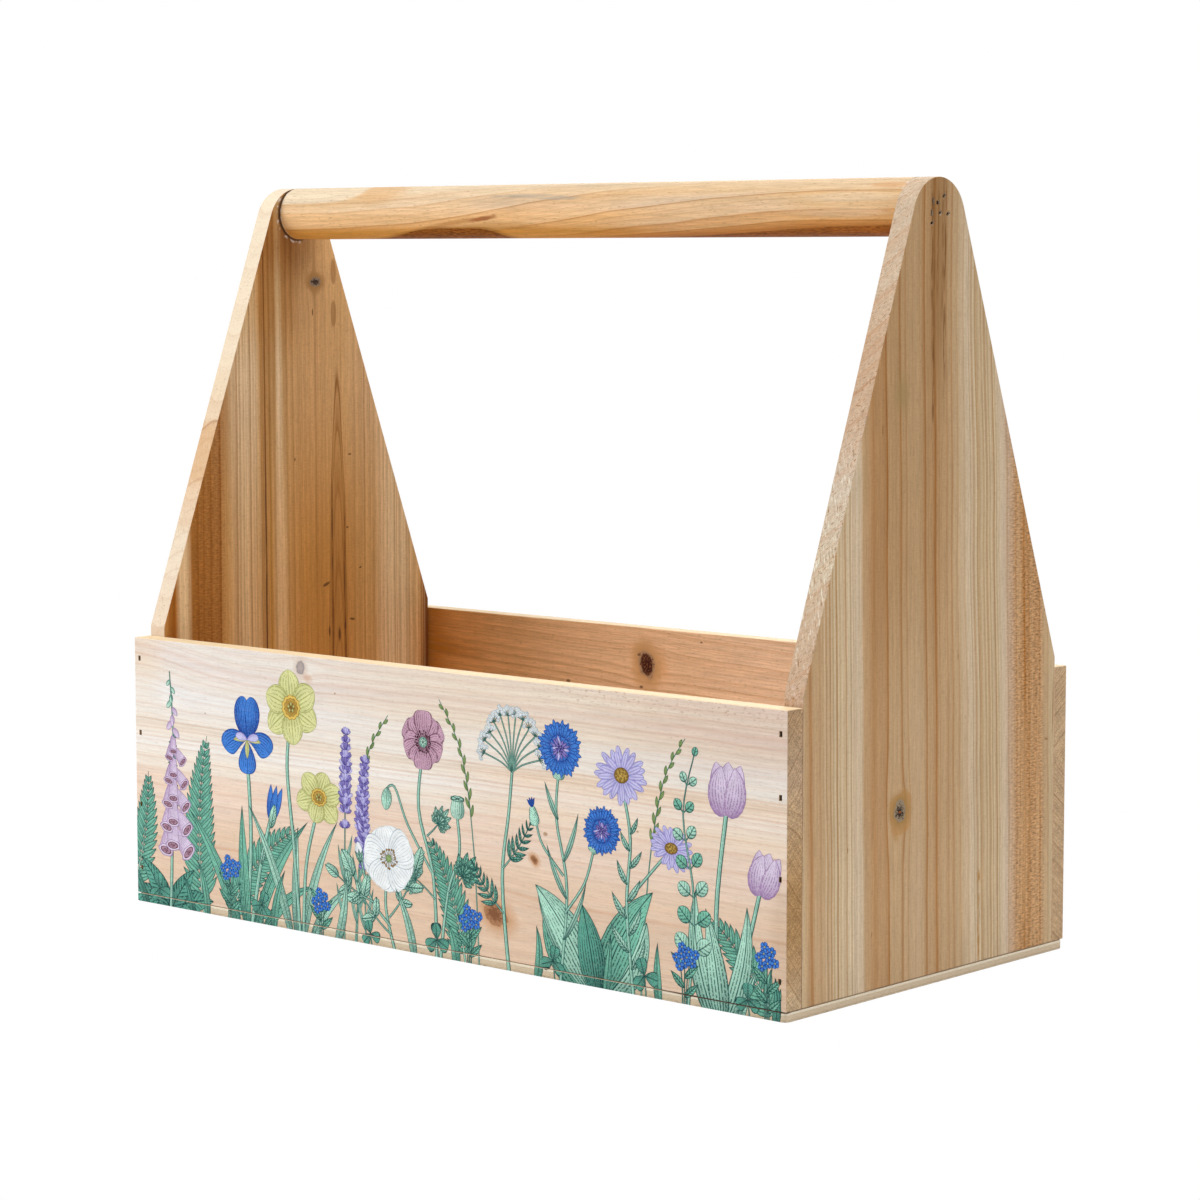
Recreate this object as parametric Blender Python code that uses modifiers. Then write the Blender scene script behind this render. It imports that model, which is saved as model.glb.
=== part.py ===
"""A wooden carry box: an open tray between two tapered end panels, with a dowel between them to carry it by.

Metres, +Z up, +X to the right along the length, +Y to the back. The origin is on the floor, under the middle.
The end panels stand on the base between the front and back boards, which lap over the panels' edges. Each of
those boards is glued up from two strips. Brads hold every joint, their heads sunk below the surface.
"""

import math

import bmesh
import bpy
from mathutils import Matrix, Vector

# Outside of the box
LENGTH = 0.400
DEPTH = 0.201
HEIGHT = 0.344

# Plywood base
BASE_THICKNESS = 0.004
BASE_CORNER_RADIUS = 0.003
BASE_EDGE_ROUND = 0.0003

# Front and back boards, each of two strips glued edge to edge
FRONT_THICKNESS = 0.010
BACK_THICKNESS = 0.009
LOWER_STRIP_HEIGHT = 0.083
UPPER_STRIP_HEIGHT = 0.041
BOARD_EDGE_ROUND = 0.0004

# End panels: upright sides to the shoulder, then a straight taper up to a round top
PANEL_THICKNESS = 0.010
SHOULDER_ABOVE_BOARDS = 0.0047
PANEL_TOP_RADIUS = 0.0188
PANEL_EDGE_ROUND = 0.0004

# Handle
DOWEL_DIAMETER = 0.025
DOWEL_EDGE_ROUND = 0.0004

# Brads: flat wire with a T head and a chisel point
BRAD_HEAD_WIDTH = 0.0019
BRAD_HEAD_DEPTH = 0.0006
BRAD_WIRE_WIDTH = 0.00125
BRAD_WIRE_THICKNESS = 0.0010
BRAD_POINT_LENGTH = 0.0012
BRAD_TIP_WIDTH = 0.0003
BRAD_LENGTH = 0.025
HANDLE_BRAD_LENGTH = 0.030
BASE_BRAD_LENGTH = 0.020
BRAD_SINK = 0.0008
BRAD_FROM_BOARD_END = 0.0035

# Clearances
JOINT_GAP = 0.0003
GLUE_LINE = 0.0002
BRAD_CLEARANCE = 0.0003

# Where the brads are, as shares of what they go through: up the boards' height
LEFT_BRAD_HEIGHTS = (0.10, 0.35, 0.63, 0.92)
RIGHT_BRAD_HEIGHTS = (0.10, 0.44, 0.71, 0.92)
# Across the dowel's end, in radii to the back and up, with the turn of the head in degrees
HANDLE_BRADS = (
    (0.26, 0.36, 45),
    (-0.35, 0.17, 0),
    (-0.09, 0.13, 90),
    (-0.44, -0.21, 0),
    (0.04, -0.21, 45),
    (0.49, -0.24, 50),
    (-0.41, -0.55, 55),
)
# Along the base's long and short sides, in half lengths
LONG_SIDE_BRADS = (-0.78, -0.27, 0.25, 0.76)
SHORT_SIDE_BRADS = (-0.5, 0.5)

# Fineness of round stretches, and what counts as one point or one plane in an outline
TOP_ARC_STEPS = 28
DOWEL_SIDES = 64
BASE_CORNER_SEGMENTS = 5
BOARD_EDGE_SEGMENTS = 2
SLIGHT_ROUND_SEGMENTS = 1
SMOOTH_ANGLE = math.radians(30)
SAME_POINT = 1e-6
SAME_PLANE = 0.001

# Levels and faces that several pieces share
BOARD_BOTTOM = BASE_THICKNESS + JOINT_GAP
BOARD_HEIGHT = LOWER_STRIP_HEIGHT + GLUE_LINE + UPPER_STRIP_HEIGHT
FRONT_FACE = -DEPTH / 2
BACK_FACE = DEPTH / 2
PANEL_FRONT = FRONT_FACE + FRONT_THICKNESS + JOINT_GAP
PANEL_BACK = BACK_FACE - BACK_THICKNESS - JOINT_GAP
PANEL_MIDDLE = (PANEL_FRONT + PANEL_BACK) / 2
DOWEL_RADIUS = DOWEL_DIAMETER / 2
DOWEL_AXIS_HEIGHT = HEIGHT - DOWEL_RADIUS

LEFT = Vector((-1, 0, 0))
RIGHT = Vector((1, 0, 0))
FORWARD = Vector((0, -1, 0))
BACKWARD = Vector((0, 1, 0))
UP = Vector((0, 0, 1))


def clear_scene():
    for thing in list(bpy.data.objects):
        bpy.data.objects.remove(thing, do_unlink=True)


def new_collection(name):
    collection = bpy.data.collections.new(name)
    bpy.context.scene.collection.children.link(collection)
    return collection


def new_material(name, colour, roughness, metallic=0.0):
    material = bpy.data.materials.new(name)
    material.use_nodes = True
    shader = material.node_tree.nodes["Principled BSDF"]
    shader.inputs["Base Color"].default_value = (*colour, 1.0)
    shader.inputs["Roughness"].default_value = roughness
    shader.inputs["Metallic"].default_value = metallic
    return material


def new_object(name, mesh, collection, location=(0, 0, 0)):
    thing = bpy.data.objects.new(name, mesh)
    thing.location = location
    collection.objects.link(thing)
    return thing


def finish_part(part, material, parent):
    part.data.materials.append(material)
    part.data.shade_smooth()
    part.data.set_sharp_from_angle(angle=SMOOTH_ANGLE)
    part.parent = parent


def add_bevel(part, width, segments, limit="ANGLE"):
    bevel = part.modifiers.new("Rounded edges", "BEVEL")
    bevel.width = width
    bevel.segments = segments
    bevel.limit_method = limit
    bevel.angle_limit = SMOOTH_ANGLE


def cut(cutter, *parts):
    for part in parts:
        hole = part.modifiers.new(cutter.name, "BOOLEAN")
        hole.operation = "DIFFERENCE"
        hole.object = cutter


def block_mesh(name, size, rounded):
    """A box centred on its origin. rounded(edge) picks the edges that a Bevel by weight rounds."""
    bm = bmesh.new()
    bmesh.ops.create_cube(bm, size=1.0)
    bmesh.ops.scale(bm, vec=size, verts=bm.verts)
    weight = bm.edges.layers.float.new("bevel_weight_edge")
    for edge in bm.edges:
        edge[weight] = 1.0 if rounded(edge) else 0.0
    mesh = bpy.data.meshes.new(name)
    bm.to_mesh(mesh)
    bm.free()
    return mesh


def outline_mesh(name, points, thickness):
    """A flat outline in the XY plane, given a thickness about that plane, as one closed mesh."""
    curve = bpy.data.curves.new(name, "CURVE")
    curve.dimensions = "2D"
    curve.fill_mode = "BOTH"
    curve.extrude = thickness / 2
    spline = curve.splines.new("POLY")
    spline.points.add(len(points) - 1)
    for point, (x, y) in zip(spline.points, points):
        point.co = (x, y, 0, 1)
    spline.use_cyclic_u = True
    carrier = bpy.data.objects.new(name, curve)
    bpy.context.scene.collection.objects.link(carrier)
    bpy.context.view_layer.update()
    evaluated = carrier.evaluated_get(bpy.context.evaluated_depsgraph_get())
    mesh = bpy.data.meshes.new_from_object(evaluated)
    bpy.data.objects.remove(carrier, do_unlink=True)
    bpy.data.curves.remove(curve)
    mesh.name = name
    bm = bmesh.new()
    bm.from_mesh(mesh)
    bmesh.ops.remove_doubles(bm, verts=bm.verts, dist=SAME_POINT)
    bmesh.ops.dissolve_limit(bm, angle_limit=SAME_PLANE, verts=bm.verts, edges=bm.edges)
    bmesh.ops.recalc_face_normals(bm, faces=bm.faces)
    bm.to_mesh(mesh)
    bm.free()
    return mesh


def make_base(parts, material, parent):
    """The plywood base, with round corners in plan and a slight round along its other edges."""
    size = Vector((LENGTH, DEPTH, BASE_THICKNESS))

    def upright(edge):
        ends = edge.verts[0].co - edge.verts[1].co
        return abs(ends.z) > abs(ends.x) + abs(ends.y)

    base = new_object("base_board", block_mesh("base_board", size, upright), parts)
    base.location = (0, 0, BASE_THICKNESS / 2)
    add_bevel(base, BASE_CORNER_RADIUS, BASE_CORNER_SEGMENTS, "WEIGHT")
    add_bevel(base, BASE_EDGE_ROUND, SLIGHT_ROUND_SEGMENTS)
    finish_part(base, material, parent)
    return base


def make_strip(name, face, inward, thickness, low, height, glued_side, parts, material, parent):
    """One strip of a board. The edge glued to the other strip, at glued_side, stays square."""
    size = Vector((LENGTH, thickness, height))

    def free_edge(edge):
        return not all(corner.co.z * glued_side > 0 for corner in edge.verts)

    strip = new_object(name, block_mesh(name, size, free_edge), parts)
    strip.location = (0, face + inward * thickness / 2, low + height / 2)
    add_bevel(strip, BOARD_EDGE_ROUND, BOARD_EDGE_SEGMENTS, "WEIGHT")
    finish_part(strip, material, parent)
    return strip


def make_board(name, face, inward, thickness, parts, material, parent):
    """A board of two strips. Returns the lower strip and the upper one."""
    upper_low = BOARD_BOTTOM + LOWER_STRIP_HEIGHT + GLUE_LINE
    lower = make_strip(
        name + "_lower", face, inward, thickness,
        BOARD_BOTTOM, LOWER_STRIP_HEIGHT, 1, parts, material, parent,
    )
    upper = make_strip(
        name + "_upper", face, inward, thickness,
        upper_low, UPPER_STRIP_HEIGHT, -1, parts, material, parent,
    )
    return lower, upper


def panel_outline():
    """Points (across, up) of an end panel from its foot: upright to the shoulders, then the taper, which
    touches the round top. The origin is at the middle of the foot."""
    half_width = (PANEL_BACK - PANEL_FRONT) / 2
    shoulder = BOARD_HEIGHT + SHOULDER_ABOVE_BOARDS
    centre = HEIGHT - BOARD_BOTTOM - PANEL_TOP_RADIUS
    rise = centre - shoulder
    reach = math.hypot(half_width, rise)
    lean = math.atan2(half_width, rise) - math.asin(PANEL_TOP_RADIUS / reach)
    points = [(-half_width, 0), (half_width, 0), (half_width, shoulder)]
    for step in range(TOP_ARC_STEPS + 1):
        angle = lean + (math.pi - 2 * lean) * step / TOP_ARC_STEPS
        across = PANEL_TOP_RADIUS * math.cos(angle)
        up = centre + PANEL_TOP_RADIUS * math.sin(angle)
        points.append((across, up))
    points.append((-half_width, shoulder))
    return points


def make_panel(name, side, parts, material, parent):
    """An end panel. side is -1 at the left and 1 at the right."""
    mesh = outline_mesh(name, panel_outline(), PANEL_THICKNESS)
    mesh.transform(Matrix((BACKWARD, UP, RIGHT)).transposed().to_4x4())
    place = (side * (LENGTH - PANEL_THICKNESS) / 2, PANEL_MIDDLE, BOARD_BOTTOM)
    panel = new_object(name, mesh, parts, place)
    add_bevel(panel, PANEL_EDGE_ROUND, BOARD_EDGE_SEGMENTS)
    finish_part(panel, material, parent)
    return panel


def make_handle(parts, material, parent):
    """The dowel, butted between the inner faces of the end panels."""
    length = LENGTH - 2 * (PANEL_THICKNESS + JOINT_GAP)
    bm = bmesh.new()
    bmesh.ops.create_cone(
        bm, cap_ends=True, segments=DOWEL_SIDES,
        radius1=DOWEL_RADIUS, radius2=DOWEL_RADIUS, depth=length,
    )
    mesh = bpy.data.meshes.new("handle")
    bm.to_mesh(mesh)
    bm.free()
    handle = new_object("handle", mesh, parts, (0, PANEL_MIDDLE, DOWEL_AXIS_HEIGHT))
    handle.rotation_euler = (0, math.pi / 2, 0)
    add_bevel(handle, DOWEL_EDGE_ROUND, SLIGHT_ROUND_SEGMENTS)
    finish_part(handle, material, parent)
    return handle


def brad_outline(length, clearance=0.0, mouth=0.0):
    """Points (along, across) of a brad, its head's face at 0. A hole for it has a clearance all round
    and a mouth that reaches back past the surface."""
    head = BRAD_HEAD_WIDTH / 2 + clearance
    wire = BRAD_WIRE_WIDTH / 2 + clearance
    under_head = BRAD_HEAD_DEPTH + clearance
    tip = length + clearance
    tip_side = BRAD_TIP_WIDTH / 2 + clearance
    side = [
        (-mouth, head),
        (under_head, head),
        (under_head, wire),
        (tip - BRAD_POINT_LENGTH, wire),
        (tip, tip_side),
    ]
    return side + [(along, -across) for along, across in reversed(side)]


def brad_frames(origin, drive, places):
    """Where each brad goes: its head's face, sunk below the surface, with X along the drive and Y along
    the wide side. A place is (point on the surface from the origin, direction of the wide side)."""
    frames = []
    for point, wide in places:
        axes = Matrix((drive, wide, drive.cross(wide))).transposed().to_4x4()
        frames.append(Matrix.Translation(Vector(origin) + point + drive * BRAD_SINK) @ axes)
    return frames


def make_brads(joint, parts, parent):
    """One joint's brads, which share a mesh. A joint is (name, mesh, brad length, frames)."""
    name, mesh, _, frames = joint
    for number, frame in enumerate(frames, start=1):
        brad = new_object(f"{name}_brad_{number}", mesh, parts, frame.translation)
        brad.rotation_euler = frame.to_euler()
        brad.parent = parent


def make_hole_cutter(name, joints, cutters):
    """The holes of several joints' brads, as one cutter."""
    mouth = BRAD_SINK + BRAD_CLEARANCE
    thickness = BRAD_WIRE_THICKNESS + 2 * BRAD_CLEARANCE
    bm = bmesh.new()
    for _, _, length, frames in joints:
        hole = outline_mesh(name, brad_outline(length, BRAD_CLEARANCE, mouth), thickness)
        for frame in frames:
            old = set(bm.verts)
            bm.from_mesh(hole)
            fresh = [vert for vert in bm.verts if vert not in old]
            bmesh.ops.transform(bm, matrix=frame, verts=fresh)
        bpy.data.meshes.remove(hole)
    mesh = bpy.data.meshes.new(name)
    bm.to_mesh(mesh)
    bm.free()
    cutter = new_object(name, mesh, cutters)
    cutter.display_type = "WIRE"
    cutter.hide_render = True
    return cutter


def new_brad_mesh(name, length, material):
    mesh = outline_mesh(name, brad_outline(length), BRAD_WIRE_THICKNESS)
    mesh.materials.append(material)
    return mesh


def board_brad_places(shares):
    return [(UP * BOARD_HEIGHT * share, UP) for share in shares]


def handle_brad_places(side):
    """Seen from outside, the two ends have the same pattern, so the left one is mirrored."""
    places = []
    for back, up, turn in HANDLE_BRADS:
        point = (BACKWARD * back * side + UP * up) * DOWEL_RADIUS
        angle = math.radians(turn)
        wide = UP * math.cos(angle) + BACKWARD * side * math.sin(angle)
        places.append((point, wide))
    return places


def row_places(along, half_length, shares):
    return [(along * half_length * share, along) for share in shares]


def main():
    clear_scene()
    parts = new_collection("wooden_carry_box")
    cutters = new_collection("brad_hole_cutters")
    box = bpy.data.objects.new("carry_box", None)
    parts.objects.link(box)

    board_wood = new_material("Planed softwood boards", (0.78, 0.60, 0.42), 0.6)
    panel_wood = new_material("Planed softwood panels", (0.56, 0.38, 0.23), 0.6)
    dowel_wood = new_material("Dowel wood", (0.74, 0.46, 0.22), 0.5)
    plywood = new_material("Plywood", (0.66, 0.52, 0.36), 0.7)
    steel = new_material("Brad steel", (0.30, 0.29, 0.28), 0.4, 1.0)

    base = make_base(parts, plywood, box)
    front_lower, front_upper = make_board(
        "front_board", FRONT_FACE, 1, FRONT_THICKNESS, parts, board_wood, box
    )
    back_lower, back_upper = make_board(
        "back_board", BACK_FACE, -1, BACK_THICKNESS, parts, board_wood, box
    )
    handle = make_handle(parts, dowel_wood, box)

    board_brad = new_brad_mesh("board_brad", BRAD_LENGTH, steel)
    handle_brad = new_brad_mesh("handle_brad", HANDLE_BRAD_LENGTH, steel)
    base_brad = new_brad_mesh("base_brad", BASE_BRAD_LENGTH, steel)
    half_panel = (PANEL_BACK - PANEL_FRONT) / 2

    for side, side_name in ((-1, "left"), (1, "right")):
        panel = make_panel(side_name + "_end_panel", side, parts, panel_wood, box)
        heights = board_brad_places(LEFT_BRAD_HEIGHTS if side < 0 else RIGHT_BRAD_HEIGHTS)
        board_end = side * (LENGTH / 2 - BRAD_FROM_BOARD_END)
        panel_middle = side * (LENGTH - PANEL_THICKNESS) / 2

        front = brad_frames((board_end, FRONT_FACE, BOARD_BOTTOM), BACKWARD, heights)
        back = brad_frames((board_end, BACK_FACE, BOARD_BOTTOM), FORWARD, heights)
        grip = brad_frames(
            (side * LENGTH / 2, PANEL_MIDDLE, DOWEL_AXIS_HEIGHT), LEFT * side, handle_brad_places(side)
        )
        under = brad_frames(
            (panel_middle, PANEL_MIDDLE, 0), UP, row_places(BACKWARD, half_panel, SHORT_SIDE_BRADS)
        )
        joints = (
            ("front_" + side_name, board_brad, BRAD_LENGTH, front),
            ("back_" + side_name, board_brad, BRAD_LENGTH, back),
            ("handle_" + side_name, handle_brad, HANDLE_BRAD_LENGTH, grip),
            ("base_" + side_name, base_brad, BASE_BRAD_LENGTH, under),
        )
        for joint in joints:
            make_brads(joint, parts, box)
        holes = make_hole_cutter(side_name + "_brad_holes", joints, cutters)
        cut(holes, panel, front_lower, front_upper, back_lower, back_upper, handle, base)

    front_middle = FRONT_FACE + FRONT_THICKNESS / 2
    back_middle = BACK_FACE - BACK_THICKNESS / 2
    along = row_places(RIGHT, LENGTH / 2, LONG_SIDE_BRADS)
    joints = (
        ("base_front", base_brad, BASE_BRAD_LENGTH, brad_frames((0, front_middle, 0), UP, along)),
        ("base_back", base_brad, BASE_BRAD_LENGTH, brad_frames((0, back_middle, 0), UP, along)),
    )
    for joint in joints:
        make_brads(joint, parts, box)
    holes = make_hole_cutter("base_brad_holes", joints, cutters)
    cut(holes, front_lower, back_lower, base)

    bpy.context.view_layer.update()


main()
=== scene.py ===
"""The looks of the wooden carry box: bare softwood, a printed meadow on the front, and steel brads.

Everything is in the box's own frame, in metres: +X along the length, +Y to the back, +Z up. The wood and
the print are drawn in millimetres. A board's grain frame has W across the grain, L along it and D through
the board.
"""

import math
import random

import bmesh
import bpy
import numpy as np
from mathutils import Euler, Matrix, Vector
from mathutils.geometry import delaunay_2d_cdt


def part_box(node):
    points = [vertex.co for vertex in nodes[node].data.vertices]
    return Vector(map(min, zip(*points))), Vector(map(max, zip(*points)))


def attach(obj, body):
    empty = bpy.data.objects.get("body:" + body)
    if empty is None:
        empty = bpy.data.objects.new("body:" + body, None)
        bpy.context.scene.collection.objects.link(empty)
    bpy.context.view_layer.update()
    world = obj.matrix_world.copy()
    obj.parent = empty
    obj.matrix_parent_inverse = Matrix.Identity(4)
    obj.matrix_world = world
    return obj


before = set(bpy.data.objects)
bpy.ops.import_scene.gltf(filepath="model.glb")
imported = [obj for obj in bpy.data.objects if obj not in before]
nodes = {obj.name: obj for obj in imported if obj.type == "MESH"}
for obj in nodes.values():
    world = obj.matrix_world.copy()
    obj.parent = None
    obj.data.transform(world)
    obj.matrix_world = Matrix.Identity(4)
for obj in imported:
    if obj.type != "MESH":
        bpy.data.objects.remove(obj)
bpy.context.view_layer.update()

scene = bpy.context.scene

# The camera, as fitted to the box's corners, in metres
CAMERA_PLACE = Vector((1.0389, -1.164, 0.3117))
CAMERA_YAW = math.radians(41.47)
CAMERA_PITCH = math.radians(5.839)
CAMERA_ROLL = math.radians(-0.031)
FOCAL_LENGTH_MM = 101.48
SENSOR_MM = 36.0

# The handle's radius and axis
handle_low, handle_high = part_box("handle")
HANDLE_RADIUS_MM = (handle_high.z - handle_low.z) / 2 * 1000
HANDLE_Y_MM = (handle_low.y + handle_high.y) / 2 * 1000
HANDLE_Z_MM = (handle_low.z + handle_high.z) / 2 * 1000

RAMP_STOPS = 28  # of the 32 that a colour ramp has room for

# How squarely a surface faces an axis, as a cosine, where a mask starts and where it is full
FACING_END = (0.75, 0.95)
FACING_UP = (0.55, 0.85)
FACING_FLAT = (0.7, 0.9)
FACING_ASIDE = (0.75, 0.35)


def linear(red, green, blue):
    """A colour given as it shows on a screen, 0 to 255, as the shader's linear values."""
    def one(value):
        value /= 255
        return value / 12.92 if value <= 0.04045 else ((value + 0.055) / 1.055) ** 2.4

    return (one(red), one(green), one(blue))


def heading(angle, length=1.0):
    """A step of a length towards an angle in degrees."""
    return length * math.cos(math.radians(angle)), length * math.sin(math.radians(angle))


class Value:
    """A number in a material's node tree. Arithmetic on it adds math nodes."""

    def __init__(self, graph, socket):
        self.graph = graph
        self.socket = socket

    def __add__(self, other):
        return self.graph.math("ADD", self, other)

    def __sub__(self, other):
        return self.graph.math("SUBTRACT", self, other)

    def __rsub__(self, other):
        return self.graph.math("SUBTRACT", other, self)

    def __mul__(self, other):
        return self.graph.math("MULTIPLY", self, other)

    def __truediv__(self, other):
        return self.graph.math("DIVIDE", self, other)

    def __pow__(self, other):
        return self.graph.math("POWER", self, other)

    def __abs__(self):
        return self.graph.math("ABSOLUTE", self)

    __radd__ = __add__
    __rmul__ = __mul__


class Colour(Value):
    """A colour in a material's node tree. It is painted over in place."""

    def over(self, tone, share):
        """Lays a tone over it, as thickly as share says."""
        self.socket = self.graph.mix(self, tone, share).socket

    def tint(self, factor, share=1.0):
        """Multiplies it by a number or a tone."""
        self.socket = self.graph.mix(self, factor, share, "MULTIPLY").socket


def fade(value, start, end, low=0.0, high=1.0):
    """low at start, high at end, and a smooth step between. It runs downwards where start is the larger."""
    inputs = {"Value": value, "From Min": start, "From Max": end, "To Min": low, "To Max": high}
    return value.graph.out(value.graph.node("MapRange", inputs, interpolation_type="SMOOTHSTEP"))


def highest(first, second):
    return first.graph.math("MAXIMUM", first, second)


class Graph:
    """A material's node tree."""

    def __init__(self, name):
        self.material = bpy.data.materials.new(name)
        self.material.use_nodes = True
        self.tree = self.material.node_tree
        self.tree.nodes.clear()

    def feed(self, socket, value):
        if isinstance(value, Value):
            self.tree.links.new(value.socket, socket)
        elif socket.type == "RGBA":
            colour = value if isinstance(value, tuple) else (value,) * 3
            socket.default_value = (*colour, 1.0)
        else:
            socket.default_value = value

    def node(self, kind, inputs, **settings):
        node = self.tree.nodes.new("ShaderNode" + kind)
        for key, setting in settings.items():
            setattr(node, key, setting)
        for key, value in inputs.items():
            self.feed(node.inputs[key], value)
        return node

    def out(self, node, key=0):
        return Value(self, node.outputs[key])

    def math(self, operation, *values):
        node = self.tree.nodes.new("ShaderNodeMath")
        node.operation = operation
        for socket, value in zip(node.inputs, values):
            self.feed(socket, value)
        return self.out(node)

    def noise(self, x, y, z, detail=2.0, roughness=0.5):
        """Noise from 0 to 1 whose blotches are about 1 across."""
        point = self.node("CombineXYZ", {"X": x, "Y": y, "Z": z})
        inputs = {"Vector": self.out(point), "Scale": 1.0, "Detail": detail, "Roughness": roughness}
        return self.out(self.node("TexNoise", inputs), "Fac")

    def ramp(self, value, span, stops, interpolation="LINEAR"):
        """Colours at given values within a span. stops are (value, colour)."""
        low, high = span
        share = (value - low) / (high - low)
        node = self.node("ValToRGB", {"Fac": share})
        ramp = node.color_ramp
        ramp.interpolation = interpolation
        ordered = sorted(stops, key=lambda stop: stop[0])
        while len(ramp.elements) > 1:
            ramp.elements.remove(ramp.elements[-1])
        for number, (place, colour) in enumerate(ordered):
            position = (place - low) / (high - low)
            element = ramp.elements[0] if number == 0 else ramp.elements.new(position)
            element.position = position
            element.color = (*colour, 1.0)
        return Colour(self, node.outputs["Color"])

    def mix(self, first, second, factor, blend="MIX"):
        node = self.tree.nodes.new("ShaderNodeMix")
        node.data_type = "RGBA"
        node.blend_type = blend
        for key, value in (("Factor_Float", factor), ("A_Color", first), ("B_Color", second)):
            socket = next(s for s in node.inputs if s.identifier == key)
            self.feed(socket, value)
        return Colour(self, next(s for s in node.outputs if s.identifier == "Result_Color"))

    def surface(self, colour, roughness, bump=None, depth=0.0, specular=0.3, metallic=0.0):
        """Ends the material in a shader. depth is the bump's height in metres."""
        shader = self.node("BsdfPrincipled", {"Base Color": colour, "Roughness": roughness})
        shader.inputs["Specular IOR Level"].default_value = specular
        shader.inputs["Metallic"].default_value = metallic
        if bump is not None:
            normal = self.node("Bump", {"Height": bump, "Strength": 1.0, "Distance": depth})
            self.feed(shader.inputs["Normal"], self.out(normal))
        output = self.tree.nodes.new("ShaderNodeOutputMaterial")
        self.tree.links.new(shader.outputs[0], output.inputs[0])
        return self.material


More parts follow.
